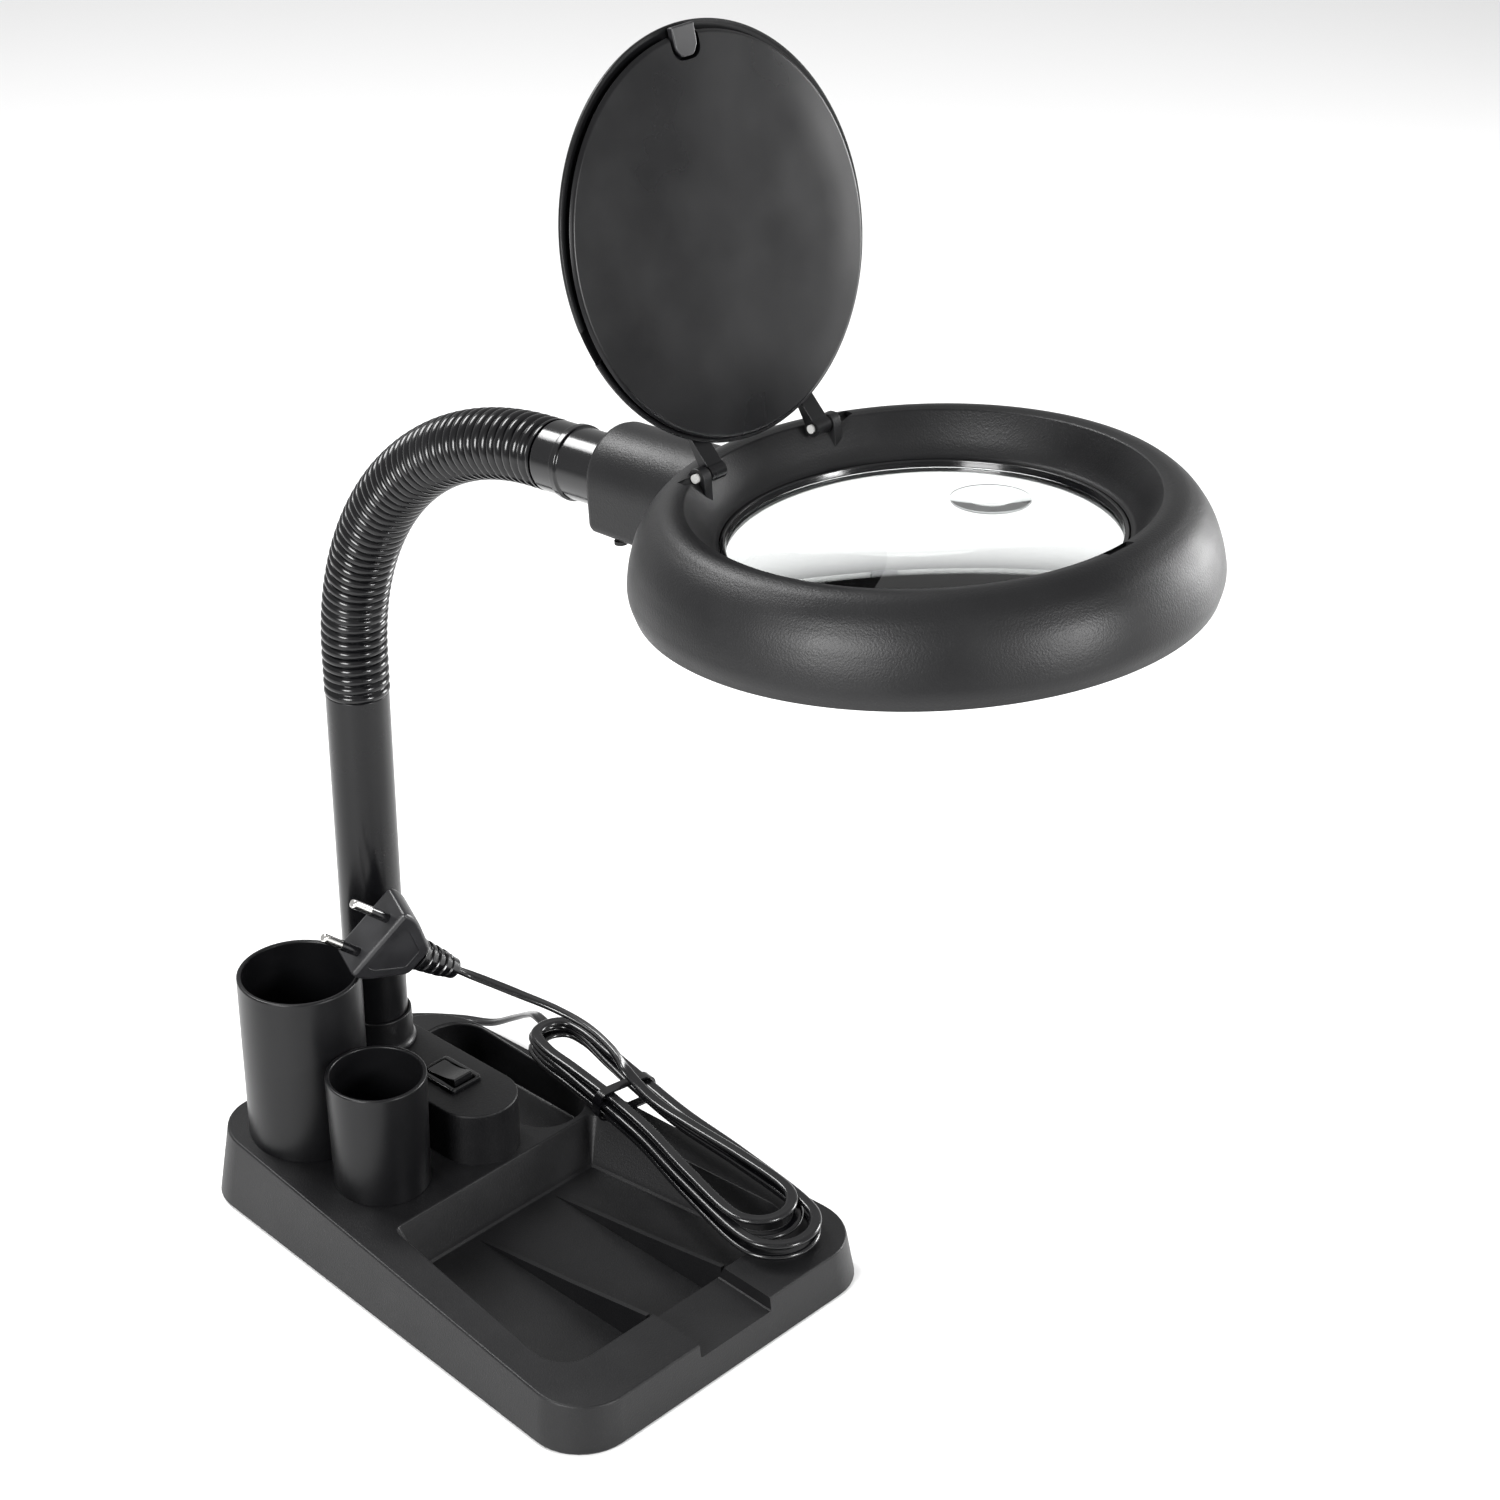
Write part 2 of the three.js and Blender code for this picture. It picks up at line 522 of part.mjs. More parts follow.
function buildHead() {
  place(head, 'head_shell', headShell(), shellBlack);
  place(head, 'main_lens', lensBody(), glass);
  place(head, 'reading_lens', insetLens(), glass);
  const retainer = turned([[62.5, 1.9], [64.5, 1.9], [64.5, 4.2], [63.2, 4.2]], ROUND, true);
  place(head, 'lens_retainer', retainer, glossBlack);
  const reflector = turned(LINER_PROFILE, ROUND, true);
  place(head, 'tube_reflector', reflector, white);
  const tube = solid(new THREE.TorusGeometry(TUBE_RING_R, TUBE_R, 8, ROUND)).translate([0, 0, TUBE_Z]);
  place(head, 'ring_tube', cut(tube, solid(box(-9, 9, 60, 95, -30, 20))), white);
  const [inner, outer] = [TUBE_RING_R - 6.4, TUBE_RING_R + 6.4];
  const capShape = roundedShape([P(inner, -15), P(outer, -15), P(outer, -0.8), P(inner, -0.8)], 2);
  place(head, 'tube_plug', acrossX(capShape.getPoints(), -8.7, 8.7), white);
  [210, 330, 50].forEach((angle, i) => place(head, `tube_clip_${i + 1}`, tubeClip(angle), steel));
  NECK_SCREWS.forEach((at, i) => place(head, `neck_screw_${i + 1}`, neckScrew(at), steel));
}

// ---- lid ---------------------------------------------------------------------------------------
// The lid is drawn shut, with its hinge line on the X axis of its group, and turned open with the group.
const lid = new THREE.Group();
lid.position.set(0, LID_HINGE_Y, LID_HINGE_Z);
lid.rotation.x = -rad(180 - LID_OPEN);
head.add(lid);

function lidShell() {
  const dish = turned([[0, 5.4], [30, 5.2], [62, 4], [66, 2.2], [LID_R, 2.2], [LID_R, 3.4], [64.8, 5.2], [50, 6.8],
    [30, 7.6], [0, 7.9]], ROUND);
  const ears = [-25, 25].map((x) => join(
    solid(acrossX([P(-13, 4.6), P(-13, 6), P(-2, 2.8), P(0, 2.6), P(0, -2.6), P(-4, -0.6)], x - 3.4, x + 3.4)),
    solid(rod(2.9, -3.4, 3.4, 16).rotateY(Math.PI / 2)).translate([x, 0, 0])));
  const pins = solid(rod(1.5 + GAP, -40, 40, 12).rotateY(Math.PI / 2));
  const slot = solid(box(-70, -60, -6, 6, -4, 4)).rotate([0, 0, -18]).translate([0, -LID_REACH, 0]);
  return cut(join(solid(dish).translate([0, -LID_REACH, 0]), ...ears), slot, pins);
}

function lidPanel() {
  const dish = turned([[0, 4.8], [58, 3.6], [64, 1.9], [PANEL_R, 1.2], [64, 0], [52, -0.9], [0, -1.4]], ROUND);
  const notch = roundedShape([P(-6.2, -56.4), P(-6.2, -70), P(6.2, -70), P(6.2, -56.4)], [5, 0, 0, 5]);
  return cut(solid(dish), solid(extrude(notch, -10, 10))).translate([0, -PANEL_REACH, 0]);
}

function lidCatch() {
  const shield = new THREE.Shape([P(-5, 0), P(5, 0), P(4.8, 7), P(2.6, 10), P(-2.6, 10), P(-4.8, 7)]);
  const plate = solid(extrude(shield, -0.6, 1.8));
  return plate.translate([0, -PANEL_REACH - 67.4, 0]);
}

function buildLid() {
  place(lid, 'lid_shell', lidShell(), satinLid);
  place(lid, 'lid_panel', lidPanel(), satinLid);
  place(lid, 'lid_catch', lidCatch(), satinLid);
  [-1, 1].forEach((side, i) => {
    const pin = rod(1.5, 21, 34, 12).rotateY((side * Math.PI) / 2);
    place(head, `hinge_pin_${i + 1}`, solid(pin).translate([0, LID_HINGE_Y, LID_HINGE_Z]), steel);
  });
}

// ---- mains lead --------------------------------------------------------------------------------
// Flat two-core lead along points chosen by hand.
function lead(points, steps) {
  const curve = new THREE.CatmullRomCurve3(points.map(([x, y, z]) => new THREE.Vector3(x, y, z)), false, 'centripetal');
  const section = new THREE.Shape(arcPoints(0, 0, 1, 0, 315, 7).map(([x, y]) => P((x * CORD.t) / 2, (y * CORD.w) / 2)));
  return new THREE.ExtrudeGeometry(section, { steps, bevelEnabled: false, extrudePath: curve });
}

const LEAD_POINTS = [[34, 144.8, 13], [35, 149.5, 11.5], [43, 155, 7], [58, 155.5, 4], [74, 147.5, 3.4], [88, 131, 3.4],
  [92.5, 115, 6.5], [93, 101, 15], [90, 88, 24], [85, 77, 30.5]];
const TAIL_POINTS = [[21.2, 55.7, 93.6], [26.2, 53.4, 89.8], [32.5, 46.3, 85.6], [40, 36.5, 80.5], [50, 27.5, 73], [60, 19, 63],
  [66.5, 12, 52], [68.5, 6.5, 43.8]];

function hankShape() {
  const [bx, by] = HANK.back;
  const [fx, fy] = HANK.front;
  const along = Math.atan2(by - fy, bx - fx);
  const spread = Math.acos((HANK.frontR - HANK.backR) / Math.hypot(bx - fx, by - fy));
  const shape = new THREE.Shape();
  shape.absarc(bx, by, HANK.backR, along - spread, along + spread, false);
  shape.absarc(fx, fy, HANK.frontR, along + spread, along - spread + 2 * Math.PI, false);
  shape.closePath();
  return shape;
}

function hankBody() {
  const slab = extrude(hankShape(), 0, HANK.thick);
  const at = slab.attributes.position;
  for (let i = 0; i < at.count; i += 1) at.setZ(i, at.getZ(i) + topHeight(at.getY(i)) + HANK.lift);
  return slab;
}

function tieBody() {
  const [x, y] = [66.5, 3];
  const width = 33;
  const z = topHeight(y) + HANK.lift + HANK.thick + GAP;
  return solid(box(-width / 2, width / 2, -2, 2, 0, 1.6).rotateZ(rad(-9)).rotateX(Math.atan(TOP_SLOPE)))
    .translate([x - 2, y - 12, z - 0.55]);
}

function glandBody() {
  return turned([[0, -8.6], [5, -8.6], [5, -6.8], [3.6, -6.8], [3.6, 0.3], [5, 0.3], [5, 3], [4, 6], [2.9, 24],
    [0, 24]], 12);
}

const plugAxis = PLUG_AXIS.clone().normalize();
const plugWidth = PLUG_WIDTH.clone().addScaledVector(plugAxis, -PLUG_WIDTH.dot(plugAxis)).normalize();
const plug = new THREE.Group();
plug.position.copy(PLUG_FACE);
plug.quaternion.setFromRotationMatrix(
  new THREE.Matrix4().makeBasis(plugWidth, plugAxis.clone().cross(plugWidth), plugAxis));
model.add(plug);

// The plug is drawn with its cord side up its own Z and its pins below.
function plugBody() {
  const outline = roundedShape([P(-17.2, 0), P(17.2, 0), P(17.2, 7), P(7, 24), P(-7, 24), P(-17.2, 7)],
    [3, 3, 3, 2, 2, 3]);
  const flat = alongY(outline, -11, 6.8);
  const holes = [-9.3, 9.3].map((x) => solid(rod(2 + GAP, -1, 8.3, 12)).translate([x, 0, 0]));
  return cut(solid(flat), ...holes);
}

function plugPin(x) {
  return solid(turned([[0, -19], [1.5, -18.6], [2, -17.4], [2, 8], [0, 8]], 14)).translate([x, 0, 0]);
}

function plugRelief() {
  return turned([[0, 24.3], [7, 24.3], [6.9, 27], [5.8, 27.4], [5.8, 29], [6.6, 29.4], [6.4, 32], [5.4, 32.4],
    [5.4, 34], [6, 34.4], [5.2, 46], [0, 46]], 10);
}

function buildLead() {
  const gland = place(model, 'cord_gland', glandBody(), glossBlack);
  gland.position.set(GLAND.x, GLAND.y + 1.3, GLAND.z);
  gland.rotation.x = -Math.PI / 2;
  place(model, 'cord_lead', lead(LEAD_POINTS, 16), glossBlack);
  place(model, 'cord_hank', hankBody(), glossBlack);
  place(model, 'cord_tie', tieBody(), glossBlack);
  place(model, 'cord_tail', lead(TAIL_POINTS, 12), glossBlack);
  place(plug, 'plug_body', plugBody(), glossBlack);
  place(plug, 'plug_pin_1', plugPin(-9.3), nickel);
  place(plug, 'plug_pin_2', plugPin(9.3), nickel);
  place(plug, 'plug_relief', plugRelief(), glossBlack);
}

buildBase();
buildStem();
buildHead();
buildLid();
buildLead();

export default model;
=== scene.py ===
import math

import bmesh
import bpy
import numpy as np
from mathutils import Matrix, Vector


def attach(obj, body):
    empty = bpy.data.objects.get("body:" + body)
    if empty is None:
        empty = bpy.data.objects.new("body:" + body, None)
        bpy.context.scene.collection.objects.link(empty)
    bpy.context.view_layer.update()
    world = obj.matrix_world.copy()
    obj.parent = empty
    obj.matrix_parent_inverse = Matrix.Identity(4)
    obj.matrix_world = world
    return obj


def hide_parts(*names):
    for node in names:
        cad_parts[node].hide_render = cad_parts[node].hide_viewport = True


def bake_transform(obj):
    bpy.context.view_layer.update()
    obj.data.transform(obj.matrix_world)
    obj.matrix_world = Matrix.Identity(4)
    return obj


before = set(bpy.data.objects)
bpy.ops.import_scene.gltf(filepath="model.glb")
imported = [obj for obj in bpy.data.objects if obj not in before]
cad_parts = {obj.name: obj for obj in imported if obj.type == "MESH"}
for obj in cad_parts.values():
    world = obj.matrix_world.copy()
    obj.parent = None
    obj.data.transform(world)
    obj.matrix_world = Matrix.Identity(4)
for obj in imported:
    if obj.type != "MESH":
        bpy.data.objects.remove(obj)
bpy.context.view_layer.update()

MM = 0.001
TAU = 2 * math.pi

# ---- measures shared by several pieces ----------------------------------------------------------
STEM_X, STEM_Y, STEM_TOP = 8.5, 90.0, 213.0
ARC_Z, ARC_R, TILT = 229.0, 118.0, math.radians(4.15)
JOINT_STEP, FIRST_JOINT = 31.635, 3.0
HEAD_MIDDLE = (8.5, -195.218, 367.464)
HINGE_Y, HINGE_Z, LID_OPEN = 67.0, 17.6, math.radians(101.4)
BASE_HALF_L, BASE_FRONT, BASE_BACK = 120.0, 83.6, 65.0
BASE_FOOT, PLATE_TOP, LEAN_X, LEAN_Y = 0.6, 3.1, 0.0018, 0.001
CREST = 0.9  # rounding of the base's top edge
CORNER_R = (22, 22, 30, 22)
FIN_X, FIN_HALF = (-18, 23), 1.0
HOUSING_TOP, CUP_GAP = 51.0, 0.3
GLAND_X, GLAND_Z = 34.0, 13.0
SOCKET_R = STEM_HOLE_R = 12.8
HOSE_ROOT, HOSE_RIB, HOSE_BORE = 11.5, 1.45, 9.6  # groove radius, rib height, inner radius
LENS_R, LENS_EDGE, LENS_OVER, LENS_UNDER = 63.5, 3, 5.8, 0.2
TUBE_RING_R, TUBE_R, TUBE_Z = 78, 6, -8.0
EAR_X, EAR_HALF, LUG_X, LUG_HALF, PIN_WAY_R = (-25, 25), 3.4, (-31, 31), 1.8, 1.8
LID_REACH, PANEL_REACH, TAB_Y = 72, 71, -138.4
PLUG_DEPTH, PIN_X = (-11, 6.8), (-9.3, 9.3)
HEAD_AT = Matrix.Translation(HEAD_MIDDLE) @ Matrix.Rotation(-TILT, 4, "X")
LID_AT = HEAD_AT @ Matrix.Translation((0, HINGE_Y, HINGE_Z)) @ Matrix.Rotation(-LID_OPEN, 4, "X")


def deck(y):
    """Height of the base's sloped top at y: a straight rise of 12.6 over 240."""
    return 20.2 + 0.0525 * (np.asarray(y, float) + BASE_HALF_L)


# ---- camera -------------------------------------------------------------------------------------
def set_camera():
    """A camera whose right, up and back directions are the rows of a rotation."""
    data = bpy.data.cameras.new("camera")
    data.lens, data.sensor_width = 80.6, 36.0
    camera = bpy.data.objects.new("camera", data)
    bpy.context.collection.objects.link(camera)
    rows = Matrix(((0.685, -0.728, 0), (0.351, 0.330, 0.8755), (-0.638, -0.600, 0.482)))
    camera.matrix_world = Matrix.Translation((-0.7283, -0.8127, 0.8218)) @ rows.transposed().to_4x4()
    bpy.context.scene.camera = camera


set_camera()


# ---- materials ----------------------------------------------------------------------------------
def socket_in(group, name, kind, value):
    """One named input of a node group with its first value."""
    socket = group.interface.new_socket(name, in_out="INPUT", socket_type=kind)
    socket.default_value = value


def moulded_group():
    """Colour = base mixed to worn by broad noise and specks; roughness spread by the same noise;
    height = fine grain plus a slower swell."""
    group = bpy.data.node_groups.new("moulded surface", "ShaderNodeTree")
    socket_in(group, "Base", "NodeSocketColor", (0.02, 0.02, 0.02, 1))
    socket_in(group, "Worn", "NodeSocketColor", (0.05, 0.05, 0.05, 1))
    for name, value in (("Grain Scale", 2600), ("Patch Scale", 28), ("Speck Amount", 0.3),
                        ("Rough Low", 0.4), ("Rough High", 0.5), ("Swell", 0.3)):
        socket_in(group, name, "NodeSocketFloat", value)
    for name, kind in (("Color", "NodeSocketColor"), ("Roughness", "NodeSocketFloat"),
                       ("Height", "NodeSocketFloat")):
        group.interface.new_socket(name, in_out="OUTPUT", socket_type=kind)
    add, link = group.nodes.new, group.links.new
    given, result = add("NodeGroupInput"), add("NodeGroupOutput")
    place = add("ShaderNodeTexCoord")
    grain, patch, speck = (add("ShaderNodeTexNoise") for _ in range(3))
    for node in (grain, patch, speck):
        link(place.outputs["Object"], node.inputs["Vector"])
    link(given.outputs["Grain Scale"], grain.inputs["Scale"])
    link(given.outputs["Patch Scale"], patch.inputs["Scale"])
    grain.inputs["Detail"].default_value = 3
    patch.inputs["Detail"].default_value = 6
    speck.inputs["Scale"].default_value = 900
    dots = add("ShaderNodeMapRange")
    dots.inputs["From Min"].default_value, dots.inputs["From Max"].default_value = 0.66, 0.74
    link(speck.outputs["Fac"], dots.inputs["Value"])
    weight = add("ShaderNodeMath")
    weight.operation = "MULTIPLY"
    link(dots.outputs["Result"], weight.inputs[0])
    link(given.outputs["Speck Amount"], weight.inputs[1])
    broad = add("ShaderNodeMapRange")
    broad.inputs["From Min"].default_value, broad.inputs["From Max"].default_value = 0.38, 0.66
    broad.inputs["To Max"].default_value = 0.45
    link(patch.outputs["Fac"], broad.inputs["Value"])
    wear = add("ShaderNodeMath")
    wear.operation, wear.use_clamp = "ADD", True
    link(broad.outputs["Result"], wear.inputs[0])
    link(weight.outputs[0], wear.inputs[1])
    mix = add("ShaderNodeMix")
    mix.data_type = "RGBA"
    link(wear.outputs[0], mix.inputs["Factor"])
    link(given.outputs["Base"], mix.inputs[6])
    link(given.outputs["Worn"], mix.inputs[7])
    rough = add("ShaderNodeMapRange")
    link(patch.outputs["Fac"], rough.inputs["Value"])
    rough.inputs["From Min"].default_value, rough.inputs["From Max"].default_value = 0.3, 0.7
    link(given.outputs["Rough Low"], rough.inputs["To Min"])
    link(given.outputs["Rough High"], rough.inputs["To Max"])
    swell = add("ShaderNodeMath")
    swell.operation = "MULTIPLY_ADD"
    link(patch.outputs["Fac"], swell.inputs[0])
    link(given.outputs["Swell"], swell.inputs[1])
    link(grain.outputs["Fac"], swell.inputs[2])
    for source, name in ((mix.outputs[2], "Color"), (rough.outputs["Result"], "Roughness"),
                         (swell.outputs[0], "Height")):
        link(source, result.inputs[name])
    return group


MOULDED = moulded_group()


def finish_of(name, base, worn, rough, grain=2600, depth=0.02, patch=28, speck=0.3, swell=0.3, **shader):
    """A material: the moulded surface group drives colour, roughness and a bump; the rest is set plainly."""
    material = bpy.data.materials.new(name)
    material.use_nodes = True
    nodes, link = material.node_tree.nodes, material.node_tree.links.new
    principled = nodes["Principled BSDF"]
    group = nodes.new("ShaderNodeGroup")
    group.node_tree = MOULDED
    for key, value in (("Base", (*base, 1)), ("Worn", (*worn, 1)), ("Grain Scale", grain),
                       ("Patch Scale", patch), ("Speck Amount", speck), ("Rough Low", rough[0]),
                       ("Rough High", rough[1]), ("Swell", swell)):
        group.inputs[key].default_value = value
    bump = nodes.new("ShaderNodeBump")
    bump.inputs["Strength"].default_value = 0.6
    bump.inputs["Distance"].default_value = depth * MM
    link(group.outputs["Color"], principled.inputs["Base Color"])
    link(group.outputs["Roughness"], principled.inputs["Roughness"])
    link(group.outputs["Height"], bump.inputs["Height"])
    link(bump.outputs["Normal"], principled.inputs["Normal"])
    for key, value in shader.items():
        principled.inputs[key.replace("_", " ")].default_value = value
    return material


def lens_glass(name, tint):
    """Clear glass: full transmission with a plain index, and a trace of smear in the roughness."""
    material = bpy.data.materials.new(name)
    material.use_nodes = True
    nodes, link = material.node_tree.nodes, material.node_tree.links.new
    principled = nodes["Principled BSDF"]
    for key, value in (("Base Color", (*tint, 1)), ("Transmission Weight", 1.0), ("IOR", 1.5)):
        principled.inputs[key].default_value = value
    place, smear, spread = (nodes.new(kind) for kind in
                            ("ShaderNodeTexCoord", "ShaderNodeTexNoise", "ShaderNodeMapRange"))
    smear.inputs["Scale"].default_value = 45
    spread.inputs["To Min"].default_value, spread.inputs["To Max"].default_value = 0.0, 0.03
    link(place.outputs["Object"], smear.inputs["Vector"])
    link(smear.outputs["Fac"], spread.inputs["Value"])
    link(spread.outputs["Result"], principled.inputs["Roughness"])
    return material


DEEP = {"Specular_IOR_Level": 0.26}
SHELL = finish_of("moulded black shell", (0.0035, 0.0035, 0.004), (0.007, 0.007, 0.0075), (0.38, 0.5), 1500,
                  0.16, swell=0.2, Specular_IOR_Level=0.3)
CUP = finish_of("satin black cup", (0.003, 0.003, 0.0035), (0.006, 0.006, 0.0065), (0.30, 0.38), 2600, 0.03,
                **DEEP)
PIPE = finish_of("smooth black pipe", (0.003, 0.003, 0.0035), (0.006, 0.006, 0.0065), (0.24, 0.32), 2000,
                 0.015, **DEEP)
HOSE = finish_of("gloss black hose", (0.002, 0.002, 0.0025), (0.005, 0.005, 0.0055), (0.14, 0.24), 1600,
                 0.012, Specular_IOR_Level=0.34)
LID = finish_of("satin black lid", (0.004, 0.004, 0.0045), (0.009, 0.009, 0.0095), (0.26, 0.36), 2400, 0.02,
                Specular_IOR_Level=0.22)
RIM = finish_of("gloss black rim", (0.002, 0.002, 0.0025), (0.005, 0.005, 0.0055), (0.12, 0.2), 1500, 0.01)
SWITCH = finish_of("gloss black switch", (0.003, 0.003, 0.0035), (0.007, 0.007, 0.0075), (0.16, 0.24), 1800,
                   0.01)
CORD = finish_of("gloss black lead", (0.002, 0.002, 0.0025), (0.006, 0.006, 0.0065), (0.16, 0.26), 1200,
                 0.03, 60, Specular_IOR_Level=0.5)
PLUG = finish_of("satin dark plug", (0.009, 0.009, 0.010), (0.02, 0.02, 0.022), (0.32, 0.42), 1800, 0.03, 70)
BLACK_STEEL = finish_of("blacked steel", (0.02, 0.02, 0.02), (0.05, 0.05, 0.05), (0.3, 0.45), 1700, 0.02, 120,
                        Metallic=1.0)
BOSS = finish_of("light grey boss", (0.42, 0.42, 0.41), (0.3, 0.3, 0.29), (0.35, 0.45), 1800, 0.02, 90, 0.2)
NICKEL = finish_of("bright nickel", (0.72, 0.71, 0.69), (0.5, 0.49, 0.47), (0.12, 0.26), 3000, 0.01, 160,
                   Metallic=1.0)
STEEL = finish_of("zinc plated steel", (0.5, 0.5, 0.51), (0.3, 0.3, 0.31), (0.28, 0.42), 1700, 0.02, 120,
                  Metallic=1.0)
IRON = finish_of("painted iron", (0.03, 0.03, 0.032), (0.09, 0.085, 0.08), (0.5, 0.7), 900, 0.12, 40, 0.6)
RUBBER = finish_of("black foot rubber", (0.012, 0.012, 0.012), (0.03, 0.03, 0.03), (0.8, 0.95), 700, 0.15, 50)
TUBE = finish_of("white lamp tube", (0.86, 0.87, 0.86), (0.78, 0.79, 0.78), (0.18, 0.26), 900, 0.005, 30, 0.1,
                 Coat_Weight=0.3)
WHITE = finish_of("white enamel", (0.8, 0.8, 0.79), (0.68, 0.68, 0.66), (0.35, 0.5), 1500, 0.02, 40, 0.2)
BOARD = finish_of("green board", (0.02, 0.13, 0.04), (0.03, 0.2, 0.07), (0.35, 0.5), 1300, 0.05, 220, 0.6)
GLASS = lens_glass("clear lens glass", (0.97, 0.99, 0.985))


# ---- mesh helpers -------------------------------------------------------------------------------
def new_object(name, points, faces):
    """A mesh object from an array of points in millimetres and a list of faces."""
    mesh = bpy.data.meshes.new(name)
    mesh.from_pydata(np.asarray(points, float) * MM, [], faces)
    shape = bpy.data.objects.new(name, mesh)
    bpy.context.collection.objects.link(shape)
    return shape


def tidy_mesh(shape):
    """Merges points that coincide, as at poles and seams, and turns every face outward."""
    work = bmesh.new()
    work.from_mesh(shape.data)
    bmesh.ops.remove_doubles(work, verts=work.verts, dist=2e-6)
    bmesh.ops.recalc_face_normals(work, faces=work.faces)
    work.to_mesh(shape.data)
    work.free()
    return shape


def skin(name, sections, ring=False):
    """Joins closed outlines of equal length into a surface; both ends capped, or last joined to first."""
    grid = np.asarray(sections, float)
    rows, cols = grid.shape[:2]
    index = np.arange(rows * cols).reshape(rows, cols)
    low = index if ring else index[:-1]
    high = np.roll(index, -1, 0) if ring else index[1:]
    quads = np.stack([low, np.roll(low, -1, 1), np.roll(high, -1, 1), high], -1).reshape(-1, 4).tolist()
    caps = [] if ring else [index[0][::-1].tolist(), index[-1].tolist()]
    return tidy_mesh(new_object(name, grid.reshape(-1, 3), quads + caps))


def eased(corners, radii, steps=5, closed=True):
    """Outline whose corners become quadratic curves: each corner point pulls a curve that starts and
    ends its radius away along the two sides."""
    corners = np.asarray(corners, float)
    count = len(corners)
    radii = np.broadcast_to(radii, count)
    t = np.linspace(0, 1, steps + 1)[:, None]
    parts = []
    for i, corner in enumerate(corners):
        if radii[i] == 0 or (not closed and i in (0, count - 1)):
            parts.append(corner[None])
            continue
        back, ahead = corners[i - 1] - corner, corners[(i + 1) % count] - corner
        a = corner + back * min(radii[i] / np.linalg.norm(back), 0.499)
        b = corner + ahead * min(radii[i] / np.linalg.norm(ahead), 0.499)
        parts.append((1 - t) ** 2 * a + 2 * t * (1 - t) * corner + t**2 * b)
    return np.concatenate(parts)


def turned(name, profile, segments=128, at=(0, 0, 0), closed=True):
    """A closed (radius, height) profile turned about Z: x = r cos a, y = r sin a."""
    r, z = np.asarray(profile, float).T
    a = np.arange(segments) * TAU / segments
    rings = np.stack([np.outer(r, np.cos(a)), np.outer(r, np.sin(a)), np.outer(z, np.ones(segments))], -1)
    return skin(name, rings + np.asarray(at, float), ring=closed)


def arc_outline(half_x, half_y, radii, steps=8):
    """Points round a four-sided outline, given as corner points, with circular corners: at each corner
    the centre lies where two inner parallels meet, and the arc sweeps between the side normals."""
    corners = np.stack([half_x, half_y], -1).astype(float)
    parts = []
    for i, corner in enumerate(corners):
        before = corners[i - 1] - corner
        after = corners[(i + 1) % len(corners)] - corner
        before, after = before / np.linalg.norm(before), after / np.linalg.norm(after)
        half = math.acos(np.clip(before @ after, -1, 1)) / 2
        middle = before + after
        centre = corner + middle / np.linalg.norm(middle) * radii[i] / math.sin(half)
        start = corner + before * radii[i] / math.tan(half) - centre
        end = corner + after * radii[i] / math.tan(half) - centre
        a0 = math.atan2(start[1], start[0])
        turn = (math.atan2(end[1], end[0]) - a0 + math.pi) % TAU - math.pi
        angles = a0 + turn * np.linspace(0, 1, steps + 1)
        parts.append(centre + radii[i] * np.stack([np.cos(angles), np.sin(angles)], -1))
    return np.concatenate(parts)


def level(outline, z):
    """A flat outline lifted to a height, or to a height for each of its points."""
    outline = np.asarray(outline, float)
    return np.column_stack([outline, np.broadcast_to(z, len(outline))])


def shrunk(outline, by):
    """Each point of a closed outline moved inward by a distance along the mean of its side normals."""
    outline = np.asarray(outline, float)
    side = np.roll(outline, -1, 0) - np.roll(outline, 1, 0)
    normal = np.column_stack([side[:, 1], -side[:, 0]]) / np.linalg.norm(side, axis=1)[:, None]
    area = np.sum(outline[:, 0] * np.roll(outline[:, 1], -1) - np.roll(outline[:, 0], -1) * outline[:, 1])
    return outline - normal * by * np.sign(area)


def slab(name, outline, low, high, ease, plane="xy"):
    """A plate of an outline from low to high whose edges are rounded by ease: sections shrink by
    ease (1 - sin a) as they near each face by ease (1 - cos a)."""
    a = np.linspace(0, math.pi / 2, 4)
    inset, rise = ease * (1 - np.sin(a)), ease * (1 - np.cos(a))
    bottom = [(low + d, i) for d, i in zip(rise, inset)]
    stations = bottom + [(high - d, i) for d, i in zip(rise[::-1], inset[::-1])]
    sections = [level(shrunk(outline, i), h) for h, i in stations]
    order = {"xy": (0, 1, 2), "yz": (2, 0, 1), "xz": (0, 2, 1)}[plane]
    return skin(name, np.asarray(sections)[:, :, order])


def baked(shape, **tools):
    """The shape with boolean tools applied one after another; the tools are then removed."""
    for i, (kind, tool) in enumerate((k, t) for k in ("union", "difference") for t in tools.get(k, ())):
        step = shape.modifiers.new(f"{kind} {i}", "BOOLEAN")
        step.operation, step.object, step.solver = kind.upper(), tool, "EXACT"
    graph = bpy.context.evaluated_depsgraph_get()
    mesh = bpy.data.meshes.new_from_object(shape.evaluated_get(graph))
    shape.modifiers.clear()
    shape.data = mesh
    for tool in (t for group in tools.values() for t in group):
        bpy.data.objects.remove(tool)
    return tidy_mesh(shape)


def piece(shape, body, material, stands_for=(), at=None, sharp=32):
    """Puts a finished mesh in its place, shades it smooth up to an angle, and ties it to its body."""
    if at is not None:
        move = at.copy()
        move.translation *= MM
        shape.data.transform(move)
    shape.data.materials.clear()
    shape.data.materials.append(material)
    shape.data.polygons.foreach_set("use_smooth", [True] * len(shape.data.polygons))
    shape.data.set_sharp_from_angle(angle=math.radians(sharp))
    weighted = shape.modifiers.new("weighted normals", "WEIGHTED_NORMAL")
    weighted.keep_sharp, weighted.weight = True, 60
    if body:
        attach(shape, body)
    if stands_for:
        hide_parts(*stands_for)
    return shape


